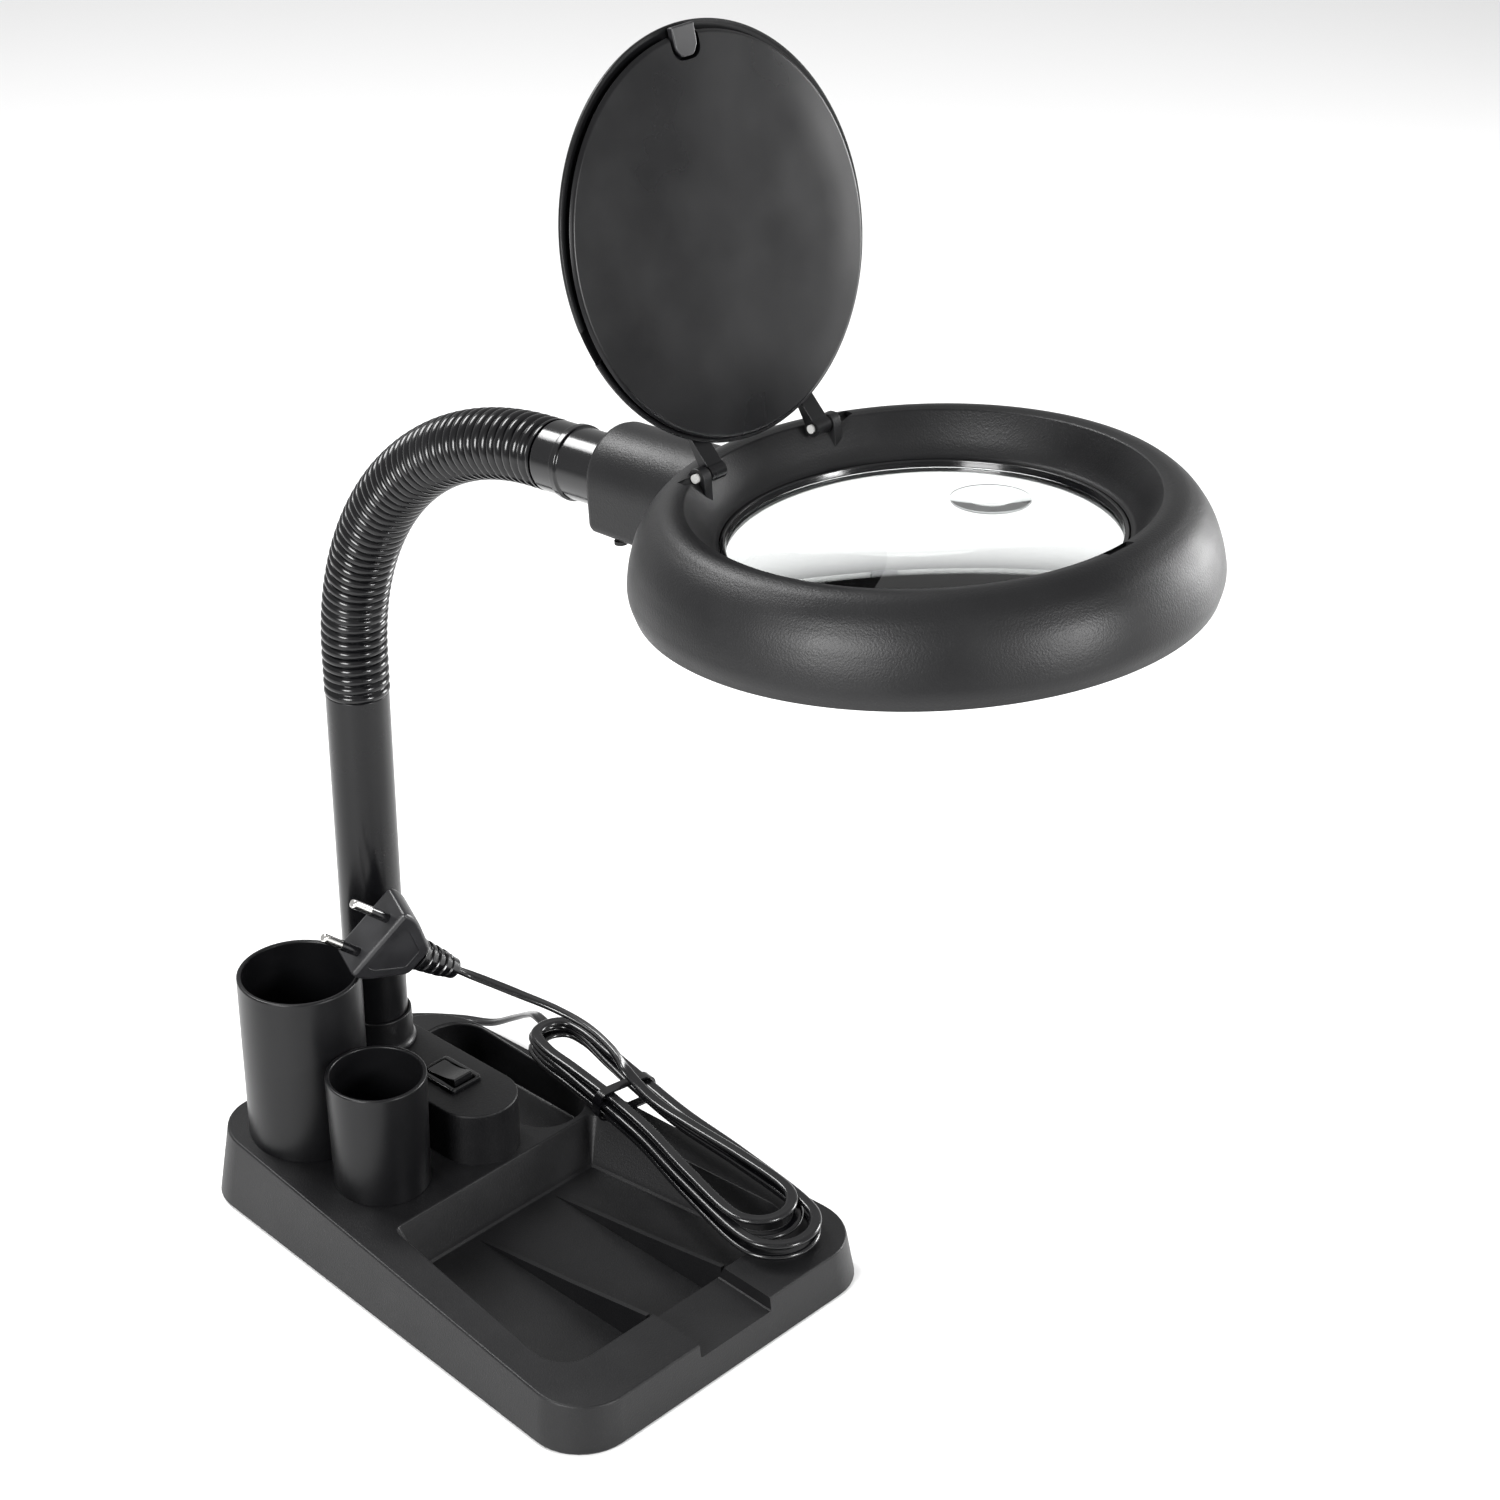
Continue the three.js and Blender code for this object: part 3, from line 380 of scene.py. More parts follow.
# ---- mains lead ---------------------------------------------------------------------------------
LEAD_POINTS = [(34, 145.2, 13), (35, 149.5, 11.5), (43, 155, 7), (58, 155.5, 4), (74, 147.5, 3.4),
               (88, 131, 3.4), (92.5, 115, 6.5), (93, 101, 15), (90, 88, 24), (85, 77, 30.5)]
TAIL_POINTS = [(68.5, 6.5, 43.8), (66.5, 12, 52), (60, 19, 63), (50, 27.5, 73), (40, 36.5, 80.5),
               (32.5, 46.3, 85.6), (26.2, 53.4, 89.8), (21.2, 55.7, 93.6)]
CORD_W, CORD_T = 5.0, 2.7
HANK_FRONT, HANK_ALONG, HANK_RIGHT = (50, -93), (0.1577, 0.9875), (0.9875, -0.1577)
BACK_U, BACK_R = (145.8, 143.0, 146.0, 144.0), (10.4, 10.4, 10.0, 10.2)
FRONT_U, FRONT_R = (0.0, 8.0, -1.0, 10.0), (16.4, 14.5, 16.0, 13.5)
WAIST_U, WAIST_LEFT, WAIST_RIGHT = 97.0, (-9.5, -7.5, -10.5, -8.0), (9.0, 7.0, 10.5, 3.0)
LAYER = 2.75


def smooth_path(points, step=2.0):
    """A curve through the points: each stretch is the cubic set by its two ends and the chords beside
    them (centripetal Catmull-Rom), resampled at an even step."""
    p = np.asarray(points, float)
    p = np.vstack([2 * p[0] - p[1], p, 2 * p[-1] - p[-2]])
    knots = np.concatenate([[0], np.cumsum(np.sqrt(np.linalg.norm(np.diff(p, axis=0), axis=1)))])
    parts = []
    for i in range(1, len(p) - 2):
        t = np.linspace(knots[i], knots[i + 1], 24, endpoint=False)[:, None]
        k0, k1, k2, k3 = knots[i - 1:i + 3]
        a1 = (k1 - t) / (k1 - k0) * p[i - 1] + (t - k0) / (k1 - k0) * p[i]
        a2 = (k2 - t) / (k2 - k1) * p[i] + (t - k1) / (k2 - k1) * p[i + 1]
        a3 = (k3 - t) / (k3 - k2) * p[i + 1] + (t - k2) / (k3 - k2) * p[i + 2]
        b1 = (k2 - t) / (k2 - k0) * a1 + (t - k0) / (k2 - k0) * a2
        b2 = (k3 - t) / (k3 - k1) * a2 + (t - k1) / (k3 - k1) * a3
        parts.append((k2 - t) / (k2 - k1) * b1 + (t - k1) / (k2 - k1) * b2)
    dense = np.vstack(parts + [p[-2][None]])
    run = np.concatenate([[0], np.cumsum(np.linalg.norm(np.diff(dense, axis=0), axis=1))])
    even = np.linspace(0, run[-1], int(run[-1] / step) + 1)
    return np.column_stack([np.interp(even, run, dense[:, k]) for k in range(3)])


def hank_points():
    """Long narrow turns laid on each other: an arc at the back, a pinched run down the left, an arc at
    the front and a run up the right, rising one layer a turn above the sloped deck."""
    rows = [(158.5, 3.5, 0.0)]
    for i in range(4):
        ub, rb, uf, rf = BACK_U[i], BACK_R[i], FRONT_U[i], FRONT_R[i]
        left, right = WAIST_LEFT[i], WAIST_RIGHT[i]
        arc = np.radians([0, 30, 60, 90, 120, 150, 180])
        rows += [(ub + 0.7 * rb, -0.75 * rb, i + 0.02), (ub - 4, -rb, i + 0.05),
                 (122, (left - rb) / 2, i + 0.1), (WAIST_U, left, i + 0.18),
                 (72, left * 1.05, i + 0.24), (40, -(rf - left) / 2 - 1, i + 0.32)]
        rows += [(uf - rf * math.sin(a), -rf * math.cos(a), i + 0.4 + 0.2 * a / math.pi) for a in arc]
        if i == 3:
            rows += [(36, 11, i + 0.66), (62, 6.5, i + 0.72), (84, 3.6, i + 0.85)]
            break
        rows += [(40, (rf + right) / 2 + 1, i + 0.68), (72, right * 1.05, i + 0.76),
                 (WAIST_U, right, i + 0.82), (122, (right + BACK_R[i + 1]) / 2, i + 0.88)]
        ub, rb = BACK_U[i + 1], BACK_R[i + 1]
        rows += [(ub - 2, rb, i + 0.92), (ub + 0.7 * rb, 0.72 * rb, i + 0.96), (ub + rb, 0, i + 0.99)]
    u, v, turns = np.array(rows).T
    x = HANK_FRONT[0] + u * HANK_ALONG[0] + v * HANK_RIGHT[0]
    y = HANK_FRONT[1] + u * HANK_ALONG[1] + v * HANK_RIGHT[1]
    return np.column_stack([x, y, deck(y) + 2.0 + LAYER * turns])


def flat_twin(steps=20):
    """Section of a two-core flat lead: an ellipse whose height dips along the middle line."""
    a = np.arange(steps) * TAU / steps
    x = CORD_W / 2 * np.sign(np.cos(a)) * np.abs(np.cos(a)) ** 0.8
    return np.column_stack([x, CORD_T / 2 * np.sin(a) * (1 - 0.26 * np.exp(-(x / 0.55) ** 2))])


def carried(name, path, section, across=(0, 0, 1)):
    """A section carried along a path: width lies along tangent x up, thickness square to both."""
    tangent = np.gradient(path, axis=0)
    tangent /= np.linalg.norm(tangent, axis=1)[:, None]
    width = np.cross(tangent, np.asarray(across, float))
    width /= np.linalg.norm(width, axis=1)[:, None]
    rise = np.cross(width, tangent)
    section = np.asarray(section, float)
    sideways = section[None, :, :1] * width[:, None]
    return skin(name, path[:, None] + sideways + section[None, :, 1:] * rise[:, None])


plug_axis = Vector((0.764, -0.143, -0.629)).normalized()
plug_width = Vector((0.548, -0.373, 0.749))
plug_width = (plug_width - plug_axis * plug_width.dot(plug_axis)).normalized()
PLUG_AT = Matrix.Translation((-14.5, 62.4, 123)) @ Matrix((plug_width, plug_axis.cross(plug_width), plug_axis)
                                                          ).transposed().to_4x4()
GLAND_AT = Matrix.Translation((GLAND_X, 119.3, GLAND_Z)) @ Matrix.Rotation(-math.pi / 2, 4, "X")


def make_plug():
    """The plug: a tapered shield outline of rounded depth, a ribbed sleeve, and two sleeved pins."""
    outline = eased([(-17.2, 0), (17.2, 0), (17.2, 7), (7, 24), (-7, 24), (-17.2, 7)], [2, 2, 5, 3, 3, 5])
    shell = slab("plug_shell", outline, *PLUG_DEPTH, 1.8, "xz")
    grip = eased([(-11, 3.5), (11, 3.5), (11, 8), (4.5, 19.5), (-4.5, 19.5), (-11, 8)], [1.5] * 6)
    dish = slab("plug dish", grip, 6.3, 9, 0.2, "xz")
    shell = piece(baked(shell, difference=[dish]), "base", PLUG, ["plug_body"], PLUG_AT)
    z = np.linspace(24.3, 46, 120)
    ribs = 0.45 * np.clip(np.sin((z - 24.3) * TAU / 4.4) * 3, -1, 1) * (z < 42)
    wall = np.column_stack([np.interp(z, [24.3, 46], [6.5, 4.4]) + ribs, z])
    sleeve = turned("plug_sleeve", np.vstack([[0, 24.3], wall, [0, 46]]), 48, closed=False)
    made = [shell, piece(sleeve, "base", CORD, ["plug_relief"], PLUG_AT)]
    for i, x in enumerate(PIN_X, 1):
        tip = eased([(0, -19), (1.9, -19), (1.9, 8), (0, 8)], [0, 1.2, 0, 0], closed=False)
        pin = turned(f"plug_pin_{i}_metal", tip, 32, (x, 0, 0), closed=False)
        made.append(piece(pin, "base", NICKEL, [f"plug_pin_{i}"], PLUG_AT))
        cuff = eased([(1.92, -9.5), (2.05, -9.5), (2.1, 0.2), (1.92, 0.2)], 0)
        made.append(piece(turned(f"plug_pin_{i}_cuff", cuff, 32, (x, 0, 0)), "base", SWITCH, (),
                          PLUG_AT))
    return made


def make_tie():
    """A flat band round the hank: a rounded loop in the plane across it, carried through its width."""
    u = 99.0
    x0, y0 = (HANK_FRONT[k] + u * HANK_ALONG[k] for k in (0, 1))
    z0 = float(deck(y0))
    loop = eased([(-14.5, 0.1), (14.5, 0.1), (14.5, 13.2), (-14.5, 13.2)], [5, 5, 6, 6], 8)
    inner = shrunk(loop, 0.9)
    def at(points, s):
        x = x0 + points[:, 0] * HANK_RIGHT[0] + s * HANK_ALONG[0]
        y = y0 + points[:, 0] * HANK_RIGHT[1] + s * HANK_ALONG[1]
        return np.column_stack([x, y, z0 + points[:, 1]])
    band = skin("hank_tie", [at(loop, -2.2), at(loop, 2.2), at(inner, 2.2), at(inner, -2.2)], ring=True)
    return piece(band, "base", RIM, ["cord_tie"])


def make_gland():
    """The lead's sleeve: a flanged profile turned about the way out, tapering with shallow rings."""
    z = np.linspace(3, 24, 80)
    rings = 0.25 * np.clip(np.sin((z - 3) * TAU / 3.6) * 3, -1, 1) * (z < 20)
    wall = np.column_stack([np.interp(z, [3, 24], [4.2, 2.9]) + rings, z])
    start = [(0, -8.6), (5, -8.6), (5, -6.8), (3.6, -6.8), (3.6, 0.3), (5, 0.3), (5, 3)]
    shape = turned("cord_sleeve", np.vstack([start, wall, [(0, 24)]]), 48, closed=False)
    return piece(shape, "base", CORD, ["cord_gland"], GLAND_AT)


def make_lead():
    """The whole lead on one smooth path: out of the sleeve, into the hank, and up to the plug."""
    path = smooth_path(np.vstack([LEAD_POINTS, hank_points(), TAIL_POINTS]))
    shape = carried("mains_cord", path, flat_twin())
    shape = piece(shape, "base", CORD, ["cord_lead", "cord_hank", "cord_tail"], sharp=70)
    on_it = [*make_plug(), make_tie(), make_gland()]


make_lead()


# ---- base ---------------------------------------------------------------------------------------
def base_outline(inset, steps=10):
    """The base seen from above: four sides narrowing to the back, with circular corners."""
    f, b, l = BASE_FRONT - inset, BASE_BACK - inset, BASE_HALF_L - inset
    radii = [r - inset for r in CORNER_R]
    return arc_outline([-f, f, b, -b], [-l, -l, l, l], radii, steps)


def base_section(inset, drop=None, z=None):
    """One level of the base's side: a flat cut, or a cut parallel to the deck, leaning in as it rises."""
    outline = base_outline(inset)
    height = np.full(len(outline), z) if z is not None else deck(outline[:, 1]) - drop
    rise = height - BASE_FOOT
    return np.column_stack([outline[:, 0] * (1 - LEAN_X * rise), outline[:, 1] * (1 - LEAN_Y * rise), height])


def bowl(name, corners, radii, levels, steps=6):
    """A cutter whose outline is worked out at each level: (height function, growth) for each level."""
    x, y = np.array(corners, float).T
    mid_x, mid_y = x.mean(), y.mean()
    sections = []
    for height, grow in levels:
        gx, gy = x + np.sign(x - mid_x) * grow, y + np.sign(y - mid_y) * grow
        outline = arc_outline(gx, gy, [r + max(grow, -r + 0.6) for r in radii], steps)
        z = height(outline[:, 1]) if callable(height) else height
        sections.append(level(outline, z))
    return skin(name, sections)


def lip_levels(ease):
    """Levels that flare outward by ease in a quarter circle as they reach the deck, and go on above it."""
    a = np.linspace(0, math.pi / 2, 5)
    drops, grown = ease * (1 - np.sin(a)), ease * (1 - np.cos(a))
    flare = [((lambda y, d=float(drop): deck(y) - d), float(grow)) for drop, grow in zip(drops, grown)]
    return flare + [((lambda y: deck(y) + 12), ease)]


def make_base():
    """The wedge: its side sections end in a small rounded crest; tray, clip well, finger notch and the
    hollow underneath are cut out, and the switch housing and tray fins are joined on."""
    a = np.linspace(0, math.pi / 2, 5)
    crest = [base_section(CREST * (1 - math.cos(t)), drop=CREST * (1 - math.sin(t))) for t in a]
    sides = [base_section(0.7, z=BASE_FOOT), base_section(0.0, z=1.4), base_section(0.0, drop=8.0)]
    body = skin("base_body", [*sides, *crest])
    wall = arc_outline([-8.8, 25.8, 25.8, -8.8], [14.7, 14.7, 107.3, 107.3], [17.2] * 4, 12)
    housing = slab("housing", wall, 10, HOUSING_TOP, 1.0)
    tray_side = [(lambda y: 5.5 + (y + 85) * 0.03, -7.5), (lambda y: 6.3 + (y + 85) * 0.03, -6.6),
                 (lambda y: 8.5 + (y + 85) * 0.03, -6.0), (lambda y: deck(y) - 0.9, -0.1), *lip_levels(0.8)]
    tray = bowl("tray", [(-65.8, -93), (65.8, -93), (53.5, 12), (-53.5, 12)], [14, 14, 4, 4], tray_side, 8)
    well_side = [(12.0, -1.6), (12.5, -0.5), (13.6, 0.0), *lip_levels(1.0)]
    well = bowl("well", [(29, 15.5), (62, 15.5), (62, 100), (29, 100)], [15] * 4, well_side, 10)
    notch = bowl("notch", [(-17, -135), (22, -135), (22, -87.5), (-17, -87.5)], [3] * 4,
                 [((lambda y: deck(y) - 6), -0.8), ((lambda y: deck(y) - 5.6), -0.2),
                  ((lambda y: deck(y) + 15), 0)])
    recess = skin("recess", [level(base_outline(2.6), -5), level(base_outline(2.6), PLATE_TOP)])
    hollow = skin("hollow", [level([(-66, 16), (26, 16), (26, 112), (-44, 112), (-44, 98), (-60, 98)], 2.0),
                             level([(-62, 16), (26, 16), (26, 112), (-44, 112), (-44, 98), (-60, 98)],
                                   deck(np.array([16, 16, 112, 112, 98, 98])) - 2.5)])
    inside = arc_outline([-6.4, 23.4, 23.4, -6.4], [17.1, 17.1, 104.9, 104.9], [14.8] * 4, 8)
    room = slab("room", inside, 2, 48.4, 0.1)
    opening = slab("opening", [(2.4, 37.5), (15.6, 37.5), (15.6, 57.1), (2.4, 57.1)], 40, 60, 0.1)
    drill = [(0, 40), (STEM_HOLE_R, 40), (STEM_HOLE_R, 60), (0, 60)]
    hole = turned("stem hole", drill, 64, (STEM_X, STEM_Y, 0), closed=False)
    way = turned("lead hole", [(0, -13), (3.9, -13), (3.9, 12), (0, 12)], 32, closed=False)
    out_at = Matrix.Translation((GLAND_X * MM, 118 * MM, GLAND_Z * MM))
    way.data.transform(out_at @ Matrix.Rotation(-math.pi / 2, 4, "X"))
    cutters = [tray, well, notch, recess, hollow, room, opening, hole, way]
    body = baked(body, union=[housing], difference=cutters)
    fins = []
    for x in FIN_X:
        side = np.array([(3, 4.4), (3, 8.0), (-50, 14.7), (-91.5, 20.9), (-91.5, 8), (-78, 4.4)])
        wide = [np.column_stack([np.full(6, x + s), side]) for s in (-FIN_HALF, FIN_HALF)]
        fins.append(skin("fin", wide))
    piece(baked(body, union=fins), "base", SHELL, ["base_shell"], sharp=28)


def cup_shape(name, x, y, r_top, r_low, rim, wall):
    """A cup: a closed wall profile turned about its own axis, its underside lifted to the sloped deck."""
    low = float(deck(y)) - 1.6
    corners = [(0, low), (r_low, low), (r_top, rim), (r_top - wall, rim), (r_low - wall, low + 4.6),
               (0, low + 4.6)]
    profile = eased(corners, [0, 0.6, wall * 0.45, wall * 0.45, 2.5, 0], 6, closed=False)
    shape = turned(name, profile, 128, (x, y, 0), closed=False)
    points = np.empty(len(shape.data.vertices) * 3)
    shape.data.vertices.foreach_get("co", points)
    points = points.reshape(-1, 3) / MM
    points[:, 2] = np.maximum(points[:, 2], deck(points[:, 1]) + CUP_GAP)
    shape.data.vertices.foreach_set("co", (points * MM).ravel())
    return shape


def make_switch():
    """The rocker switch: a bezel ring of rounded outlines, and a key whose side view is a shallow vee."""
    outer = arc_outline([1, 17, 17, 1], [36.7, 36.7, 58.2, 58.2], [1.5] * 4, 4)
    window = arc_outline([3.5, 14.5, 14.5, 3.5], [38, 38, 57, 57], [0.7] * 4, 4)
    ring = [level(outer, 51.3), level(outer, 52.3), level(shrunk(outer, 0.25), 52.75),
            level(shrunk(outer, 0.8), 53.0), level(shrunk(window, -0.5), 53.0), level(window, 52.6),
            level(window, 47), level(shrunk(window, -0.8), 47), level(shrunk(window, -0.8), 51.0),
            level(shrunk(outer, 1.2), 51.3)]
    piece(skin("switch_bezel", ring, ring=True), "base", SWITCH, ["switch_frame"])
    vee = eased([(-8.4, 2.1), (-8.4, -1.2), (-4.5, -4.2), (4.5, -4.2), (8.4, -1.2), (8.4, 2.1), (0, 0.9)],
                [0.6, 0.4, 1, 1, 0.4, 0.6, 5], 6)
    key_at = Matrix.Translation((9, 47.3, 52.4)) @ Matrix.Rotation(-math.radians(8), 4, "X")
    key = slab("rocker_key", vee, -4.9, 4.9, 0.45, "yz")
    piece(key, "rocker", SWITCH, ["switch_rocker"], key_at)


make_base()
for cup_name, measures in (("tall_cup", (-34.3, 84.9, 24.7, 24.5, 105, 2)),
                           ("short_cup", (-35.3, 39.9, 20, 19.2, 78.4, 1.8))):
    cup = cup_shape(f"{cup_name}_wall", *measures)
    piece(cup, "base", CUP, [cup_name])
make_switch()


# ---- stem and hose ------------------------------------------------------------------------------
def make_stem():
    """Stem and its socket: closed wall profiles turned about the stem's axis."""
    pipe = eased([(10.5, 36), (12.5, 36), (12.5, 212.7), (10.5, 212.7)], [0, 0, 0.5, 0.4], 4)
    piece(turned("stem_pipe", pipe, 96, (STEM_X, STEM_Y, 0)), "base", PIPE, ["stem_tube"])
    collar = eased([(SOCKET_R, 51.3), (15.4, 51.3), (15.4, 52.6), (14.3, 54.2), (13.9, 66), (SOCKET_R, 66)],
                   [0, 0.4, 0.8, 1.2, 0.5, 0.3], 5)
    socket = turned("stem_collar", collar, 96, (STEM_X, STEM_Y, 0))
    piece(socket, "base", CUP, ["stem_socket"])


def hose_line(s):
    """Middle and direction of the hose at length s from the stem's top: upright, then an arc, then
    straight on along the arc's end."""
    s = np.asarray(s, float)
    straight, whole = ARC_Z - STEM_TOP, ARC_R * (math.pi / 2 - TILT)
    turn = np.clip(s - straight, 0, whole) / ARC_R
    y = STEM_Y - ARC_R + ARC_R * np.cos(turn)
    z = STEM_TOP + np.minimum(s, straight) + ARC_R * np.sin(turn)
    on = np.clip(s - straight - whole, 0, None)
    y, z = y - on * math.cos(TILT), z + on * math.sin(TILT)
    return y, z, -np.sin(turn), np.cos(turn)


def round_hose(name, s, r, segments=96):
    """A closed (length, radius) loop carried round the hose line: each point's circle stands square to
    the line, its two directions being X and the line's own normal."""
    y, z, ty, tz = hose_line(s)
    a = np.arange(segments) * TAU / segments
    out = np.asarray(r, float)[:, None]
    x, side = STEM_X + out * np.cos(a), out * np.sin(a)
    grid = np.stack([x, y[:, None] - side * tz[:, None], z[:, None] + side * ty[:, None]], -1)
    return skin(name, grid, ring=True)


HOSE_PITCH, HOSE_END = JOINT_STEP / 8, 199.4
HOSE_NODES = ["hose_end_lower"] + [f"hose_piece_{i}" for i in range(1, 7)]


def make_hose():
    """Seven ribbed skins, one over each joint: radius = root + rib |sin(pi s / pitch)|^0.6, split in a
    groove half way between joints, with a plain inner wall."""
    for k in range(7):
        joint = FIRST_JOINT + JOINT_STEP * k
        low, high = max(joint - JOINT_STEP / 2, 0.0), min(joint + JOINT_STEP / 2, HOSE_END)
        s = np.linspace(low + 0.02, high - 0.02, int((high - low) / HOSE_PITCH * 14) + 2)
        phase = (s - FIRST_JOINT - JOINT_STEP / 2) / HOSE_PITCH
        r = HOSE_ROOT + HOSE_RIB * np.abs(np.sin(math.pi * phase)) ** 0.6
        inner = np.linspace(high - 0.02, low + 0.02, 12)
        wall = np.concatenate([r, np.full(12, HOSE_BORE)])
        shape = round_hose(f"hose_skin_{k + 1}", np.concatenate([s, inner]), wall)
        piece(shape, None, HOSE, [HOSE_NODES[k]], sharp=60)
        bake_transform(shape)
    joint = FIRST_JOINT + JOINT_STEP * 6
    collar = eased([(6.8, 12.2), (7.6, 12.8), (17, 12.8), (17.6, 13.6), (20, 13.6), (20.6, 12.8), (62, 12.8),
                    (62, 9.8), (6.8, 9.8)], [0.4, 0.4, 0.3, 0.3, 0.3, 0.3, 0, 0, 0], 4)
    shape = round_hose("hose_collar", joint + collar[:, 0], collar[:, 1])
    piece(shape, "head", RIM, ["hose_end_upper"])


make_stem()
make_hose()


# ---- head ---------------------------------------------------------------------------------------
def pin_tool(name, r, half, x=0.0, y=HINGE_Y, z=HINGE_Z):
    """A rod along X, used as a tool: a circle carried from -half to half."""
    shape = turned(name, [(0, -half), (r, -half), (r, half), (0, half)], 48, closed=False)
    shape.data.transform(Matrix.Translation((x * MM, y * MM, z * MM)) @ Matrix.Rotation(math.pi / 2, 4, "Y"))
    return shape


def neck_section(y, bottom, inset):
    """Across the neck: a half circle on top, straight sides down to a floor with eased corners."""
    r = 18 - inset
    a = np.linspace(0, math.pi, 25)
    top = np.column_stack([r * np.cos(a), -6.5 + r * np.sin(a)])
    corners = [(-r, -8), (-r, bottom + inset), (r, bottom + inset), (r, -8)]
    foot = eased(corners, [0, 3, 3, 0], 5, closed=False)
    outline = np.vstack([top, foot])
    return np.column_stack([outline[:, 0], np.full(len(outline), y), outline[:, 1]])


def make_casing():
    """The ring casing: its profile turned about the lens axis, with the neck block and hinge lugs joined
    on and the bore, latch slot and hinge rooms cut out."""
    skyline = [(93.2, -14), (94.9, -9), (94.0, -2), (91.6, 6), (87.2, 13), (82.3, 17.2), (78.4, 18.3),
               (75.1, 17.5), (72.6, 13.8), (68.6, 7.2), (66.2, 4.3), (64.9, 4.0)]
    outer = eased(skyline, [0, 2.4, 3, 3.6, 3, 2.2, 1.6, 0.5, 2.5, 2, 0.9, 0], 6, closed=False)
    inner = [(64.9, -1.8), (62.2, -1.8), (62.2, -4), (66.4, -4), (66.8, 1), (72, 9),
             (75.6, 14.2), (78.5, 15.2), (85, 11.6), (90.4, 2.6), (92.2, -9), (90.8, -14)]
    casing = turned("head_casing", np.vstack([outer, inner]), 192)
    stations = [(60, -13, 0), (90, -13.5, 0), (93, -14.8, 0), (109, -22.4, 0), (113, -23.6, 0),
                (134.4, -22.9, 0), (136.0, -22.9, 0.5), (136.8, -22.9, 1.3), (137, -22.9, 2.4)]
    block = skin("block", [neck_section(*s) for s in stations])
    inside = [(0, -50), (90.8, -50), (90.8, -14), (92.2, -9), (90.4, 2.6), (85, 11.6), (78.5, 15.2),
              (75.6, 14.2), (66, 40), (0, 40)]
    channel = turned("channel", inside, 192, closed=False)
    block = baked(block, difference=[channel])
    lug = eased([(63.6, 8), (63.6, 17.6), (65, 20.6), (69, 20.6), (71.4, 17.6), (73, 12)],
                [0, 1.5, 1.5, 1.5, 1.5, 0], 4)
    lugs = [slab("lug", lug, x - LUG_HALF, x + LUG_HALF, 0.3, "yz") for x in LUG_X]
    bore = turned("bore", [(0, 0), (13.3, 0), (13.3, 60), (0, 60)], 64, closed=False)
    bore.data.transform(Matrix.Translation((0, 108 * MM, -8 * MM)) @ Matrix.Rotation(-math.pi / 2, 4, "X"))
    latch = slab("latch", [(-6, -78.4), (6, -78.4), (6, -75.2), (-6, -75.2)], 16.3, 30, 0.1)
    ear_rooms = [pin_tool("ear room", 3.5, 3.9, x) for x in EAR_X]
    tools = [bore, latch, pin_tool("pin way", PIN_WAY_R, 40), *ear_rooms]
    casing = baked(baked(casing, union=[block, *lugs]), difference=tools)
    piece(casing, "head", SHELL, ["head_shell"], HEAD_AT, sharp=30)


def lens_profile(r, edge, over, under, steps=24):
    """Half of a lens with two domes: height = edge / 2 + rise (1 - (radius / r)^2), near enough round."""
    x = np.linspace(0, r, steps)
    fall = 1 - (x / r) ** 2
    low, high = np.column_stack([x, -edge / 2 - under * fall]), np.column_stack([x, edge / 2 + over * fall])
    return np.vstack([low, high[::-1]])


def make_optics():
    """Lenses, lens ring, reflector, ring lamp and its cap, in the head's own frame."""
    domes = lens_profile(LENS_R, LENS_EDGE, LENS_OVER, LENS_UNDER)
    piece(turned("lens_glass", domes, 160, closed=False), "head", GLASS, ["main_lens"], HEAD_AT,
          sharp=50)
    x = np.linspace(0, 13, 14)
    under = np.column_stack([x, -6.1 + 2.0 * (x / 13) ** 2])
    flat = np.column_stack([x[::-1], np.full(14, -3.1)])
    small = turned("small_lens", np.vstack([under, flat]), 64, (38, 5, 0), closed=False)
    piece(small, "head", GLASS, ["reading_lens"], HEAD_AT, sharp=50)
    ring = eased([(62.5, 1.9), (64.5, 1.9), (64.5, 4.2), (63.0, 4.2)], [0.3, 0.2, 0.4, 0.5], 5)
    piece(turned("lens_ring", ring, 160), "head", RIM, ["lens_retainer"], HEAD_AT)
    upper = [(62.4, -4.4), (66.8, -4.4), (67.4, 0.7), (72.5, 8.4), (76, 13.4), (78.5, 14.4), (84.5, 11),
             (89.8, 2.3), (91.5, -9), (90.3, -13.8)]
    lower = [(89.5, -13.8), (90.7, -9), (89, 2), (84, 10.2), (78.5, 13.4), (76.4, 12.6), (73.2, 7.9),
             (68.2, 0.4), (67.6, -5.2), (62.4, -5.2)]
    liner = eased(upper + lower, 0.3, 3)
    piece(turned("reflector", liner, 160), "head", WHITE, ["tube_reflector"], HEAD_AT)
    gap = math.asin(9 / TUBE_RING_R)
    a = np.linspace(math.pi / 2 + gap, math.pi / 2 + TAU - gap, 160)
    line = np.column_stack([TUBE_RING_R * np.cos(a), TUBE_RING_R * np.sin(a), np.full(160, TUBE_Z)])
    b = np.arange(32) * TAU / 32
    tube = carried("ring_lamp", line, TUBE_R * np.column_stack([np.cos(b), np.sin(b)]))
    piece(tube, "head", TUBE, ["ring_tube"], HEAD_AT)
    cap = eased([(71.6, -15), (84.4, -15), (84.4, -0.8), (71.6, -0.8)], 2.2, 5)
    piece(slab("lamp_cap", cap, -8.7, 8.7, 0.8, "yz"), "head", WHITE, ["tube_plug"], HEAD_AT)


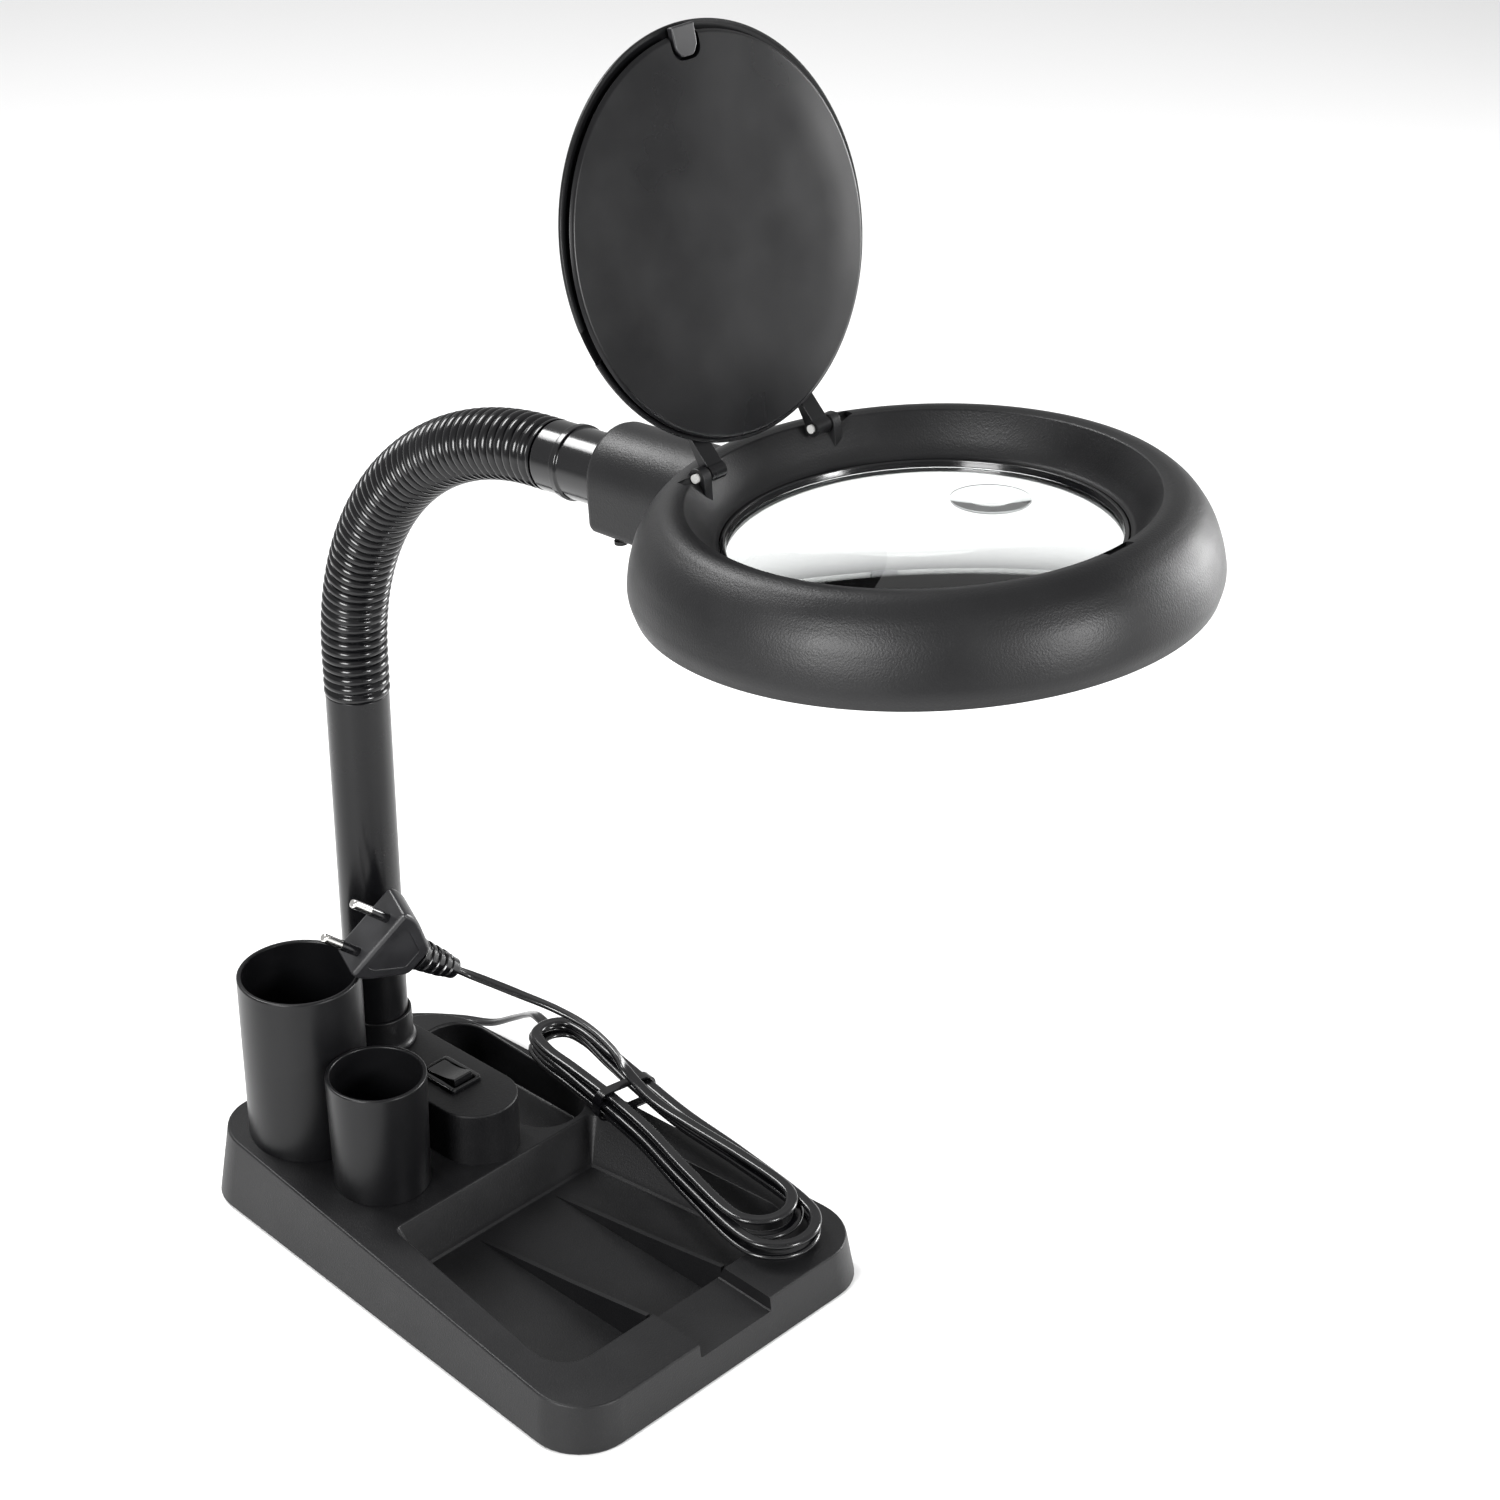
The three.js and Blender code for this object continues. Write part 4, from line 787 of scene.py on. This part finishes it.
def make_lid():
    """The lid: two thin turned dishes with a catch notch, ears on the hinge line, and a shield tab."""
    dish = eased([(0, 5.4), (30, 5.2), (62, 4), (66, 2.2), (67.2, 2.2), (67.2, 3.4), (64.8, 5.2), (50, 6.8),
                  (30, 7.6), (0, 7.9)], [0, 8, 2, 0.5, 0.35, 0.7, 2.5, 8, 8, 0], 5, closed=False)
    shape = turned("lid_dish", dish, 160, (0, -LID_REACH, 0), closed=False)
    ears = []
    for x in EAR_X:
        arm = [(-13, 4.6), (-13, 6), (-2, 2.8), (0, 2.6), (0, -2.6), (-4, -0.6)]
        ears.append(slab("arm", arm, x - EAR_HALF, x + EAR_HALF, 0.2, "yz"))
        ears.append(pin_tool("barrel", 2.9, EAR_HALF, x, 0, 0))
    slot = slab("slot", [(-70, -6), (-60, -6), (-60, 6), (-70, 6)], -4, 4, 0.1)
    slot_at = Matrix.Translation((0, -LID_REACH * MM, 0)) @ Matrix.Rotation(math.radians(-18), 4, "Z")
    slot.data.transform(slot_at)
    shape = baked(baked(shape, union=ears), difference=[slot, pin_tool("pin way", PIN_WAY_R, 40, 0, 0, 0)])
    piece(shape, "lid", LID, ["lid_shell"], LID_AT)
    face = eased([(0, 4.8), (58, 3.6), (64, 1.9), (65, 1.2), (64, 0), (52, -0.9), (0, -1.4)],
                 [0, 3, 0.5, 0.4, 0.6, 6, 0], 5, closed=False)
    panel = turned("lid_face", face, 160, closed=False)
    gap = eased([(-6.2, -56.4), (6.2, -56.4), (6.2, -72), (-6.2, -72)], [5, 5, 0, 0], 8)
    panel = baked(panel, difference=[slab("notch", gap, -10, 10, 0.1)])
    panel.data.transform(Matrix.Translation((0, -PANEL_REACH * MM, 0)))
    piece(panel, "lid", LID, ["lid_panel"], LID_AT)
    corners = [(-5, 0), (5, 0), (4.8, 7), (2.6, 10), (-2.6, 10), (-4.8, 7)]
    shield = eased(corners, [0.6, 0.6, 1, 1.2, 1.2, 1], 4) + np.array([0, TAB_Y])
    tab = slab("lid_tab", shield, -0.6, 1.8, 0.5)
    piece(tab, "lid", PLUG, ["lid_catch"], LID_AT)


make_casing()
make_optics()
make_lid()

# ---- nodes that keep their own shape --------------------------------------------------------------
KEPT = {"bottom_plate": IRON, "ballast_weight": IRON, "base_pad": RUBBER, "stem_nut": STEEL,
        "lamp_choke_board": BOARD, "lamp_choke_coil": IRON, "lamp_choke_capacitor": SWITCH,
        "hinge_pin": BOSS, "base_screw": STEEL,
        "neck_screw": BLACK_STEEL, "tube_clip": STEEL}
for node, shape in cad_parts.items():
    for start, material in KEPT.items():
        if node.startswith(start):
            for place in shape.material_slots:
                place.material = material


# ---- floor and light ----------------------------------------------------------------------------
def make_stage():
    """A pale floor that runs far past the view, and soft lights from the left, right, front and top."""
    half = 12000
    corners = [(-half, -half, 0), (half, -half, 0), (half, half, 0), (-half, half, 0)]
    floor = new_object("floor", corners, [(0, 1, 2, 3)])
    pale = finish_of("pale floor", (0.86, 0.86, 0.86), (0.84, 0.84, 0.84), (0.5, 0.6), 60, 0.02, 2, 0.05)
    floor.data.materials.append(pale)
    world = bpy.data.worlds.new("studio")
    bpy.context.scene.world = world
    world.use_nodes = True
    world.node_tree.nodes["Background"].inputs["Color"].default_value = (1, 1, 1, 1)
    world.node_tree.nodes["Background"].inputs["Strength"].default_value = 0.6
    bpy.context.scene.view_settings.view_transform = "Standard"
    for name, place, aim, size, power in (("key", (-1.5, -0.3, 0.9), (0, 0, 0.15), 0.6, 34),
                                          ("right", (1.5, -0.6, 0.42), (0, -0.2, 0.34), 0.5, 22),
                                          ("front", (0.15, -1.7, 0.75), (0, -0.15, 0.3), 0.3, 22),
                                          ("top", (-0.1, 0.9, 1.5), (0, -0.05, 0.35), 0.6, 26)):
        data = bpy.data.lights.new(name, "AREA")
        data.energy, data.size = power, size
        lamp = bpy.data.objects.new(name, data)
        lamp.location = place
        lamp.rotation_euler = (Vector(aim) - Vector(place)).to_track_quat("-Z", "Y").to_euler()
        bpy.context.collection.objects.link(lamp)


make_stage()
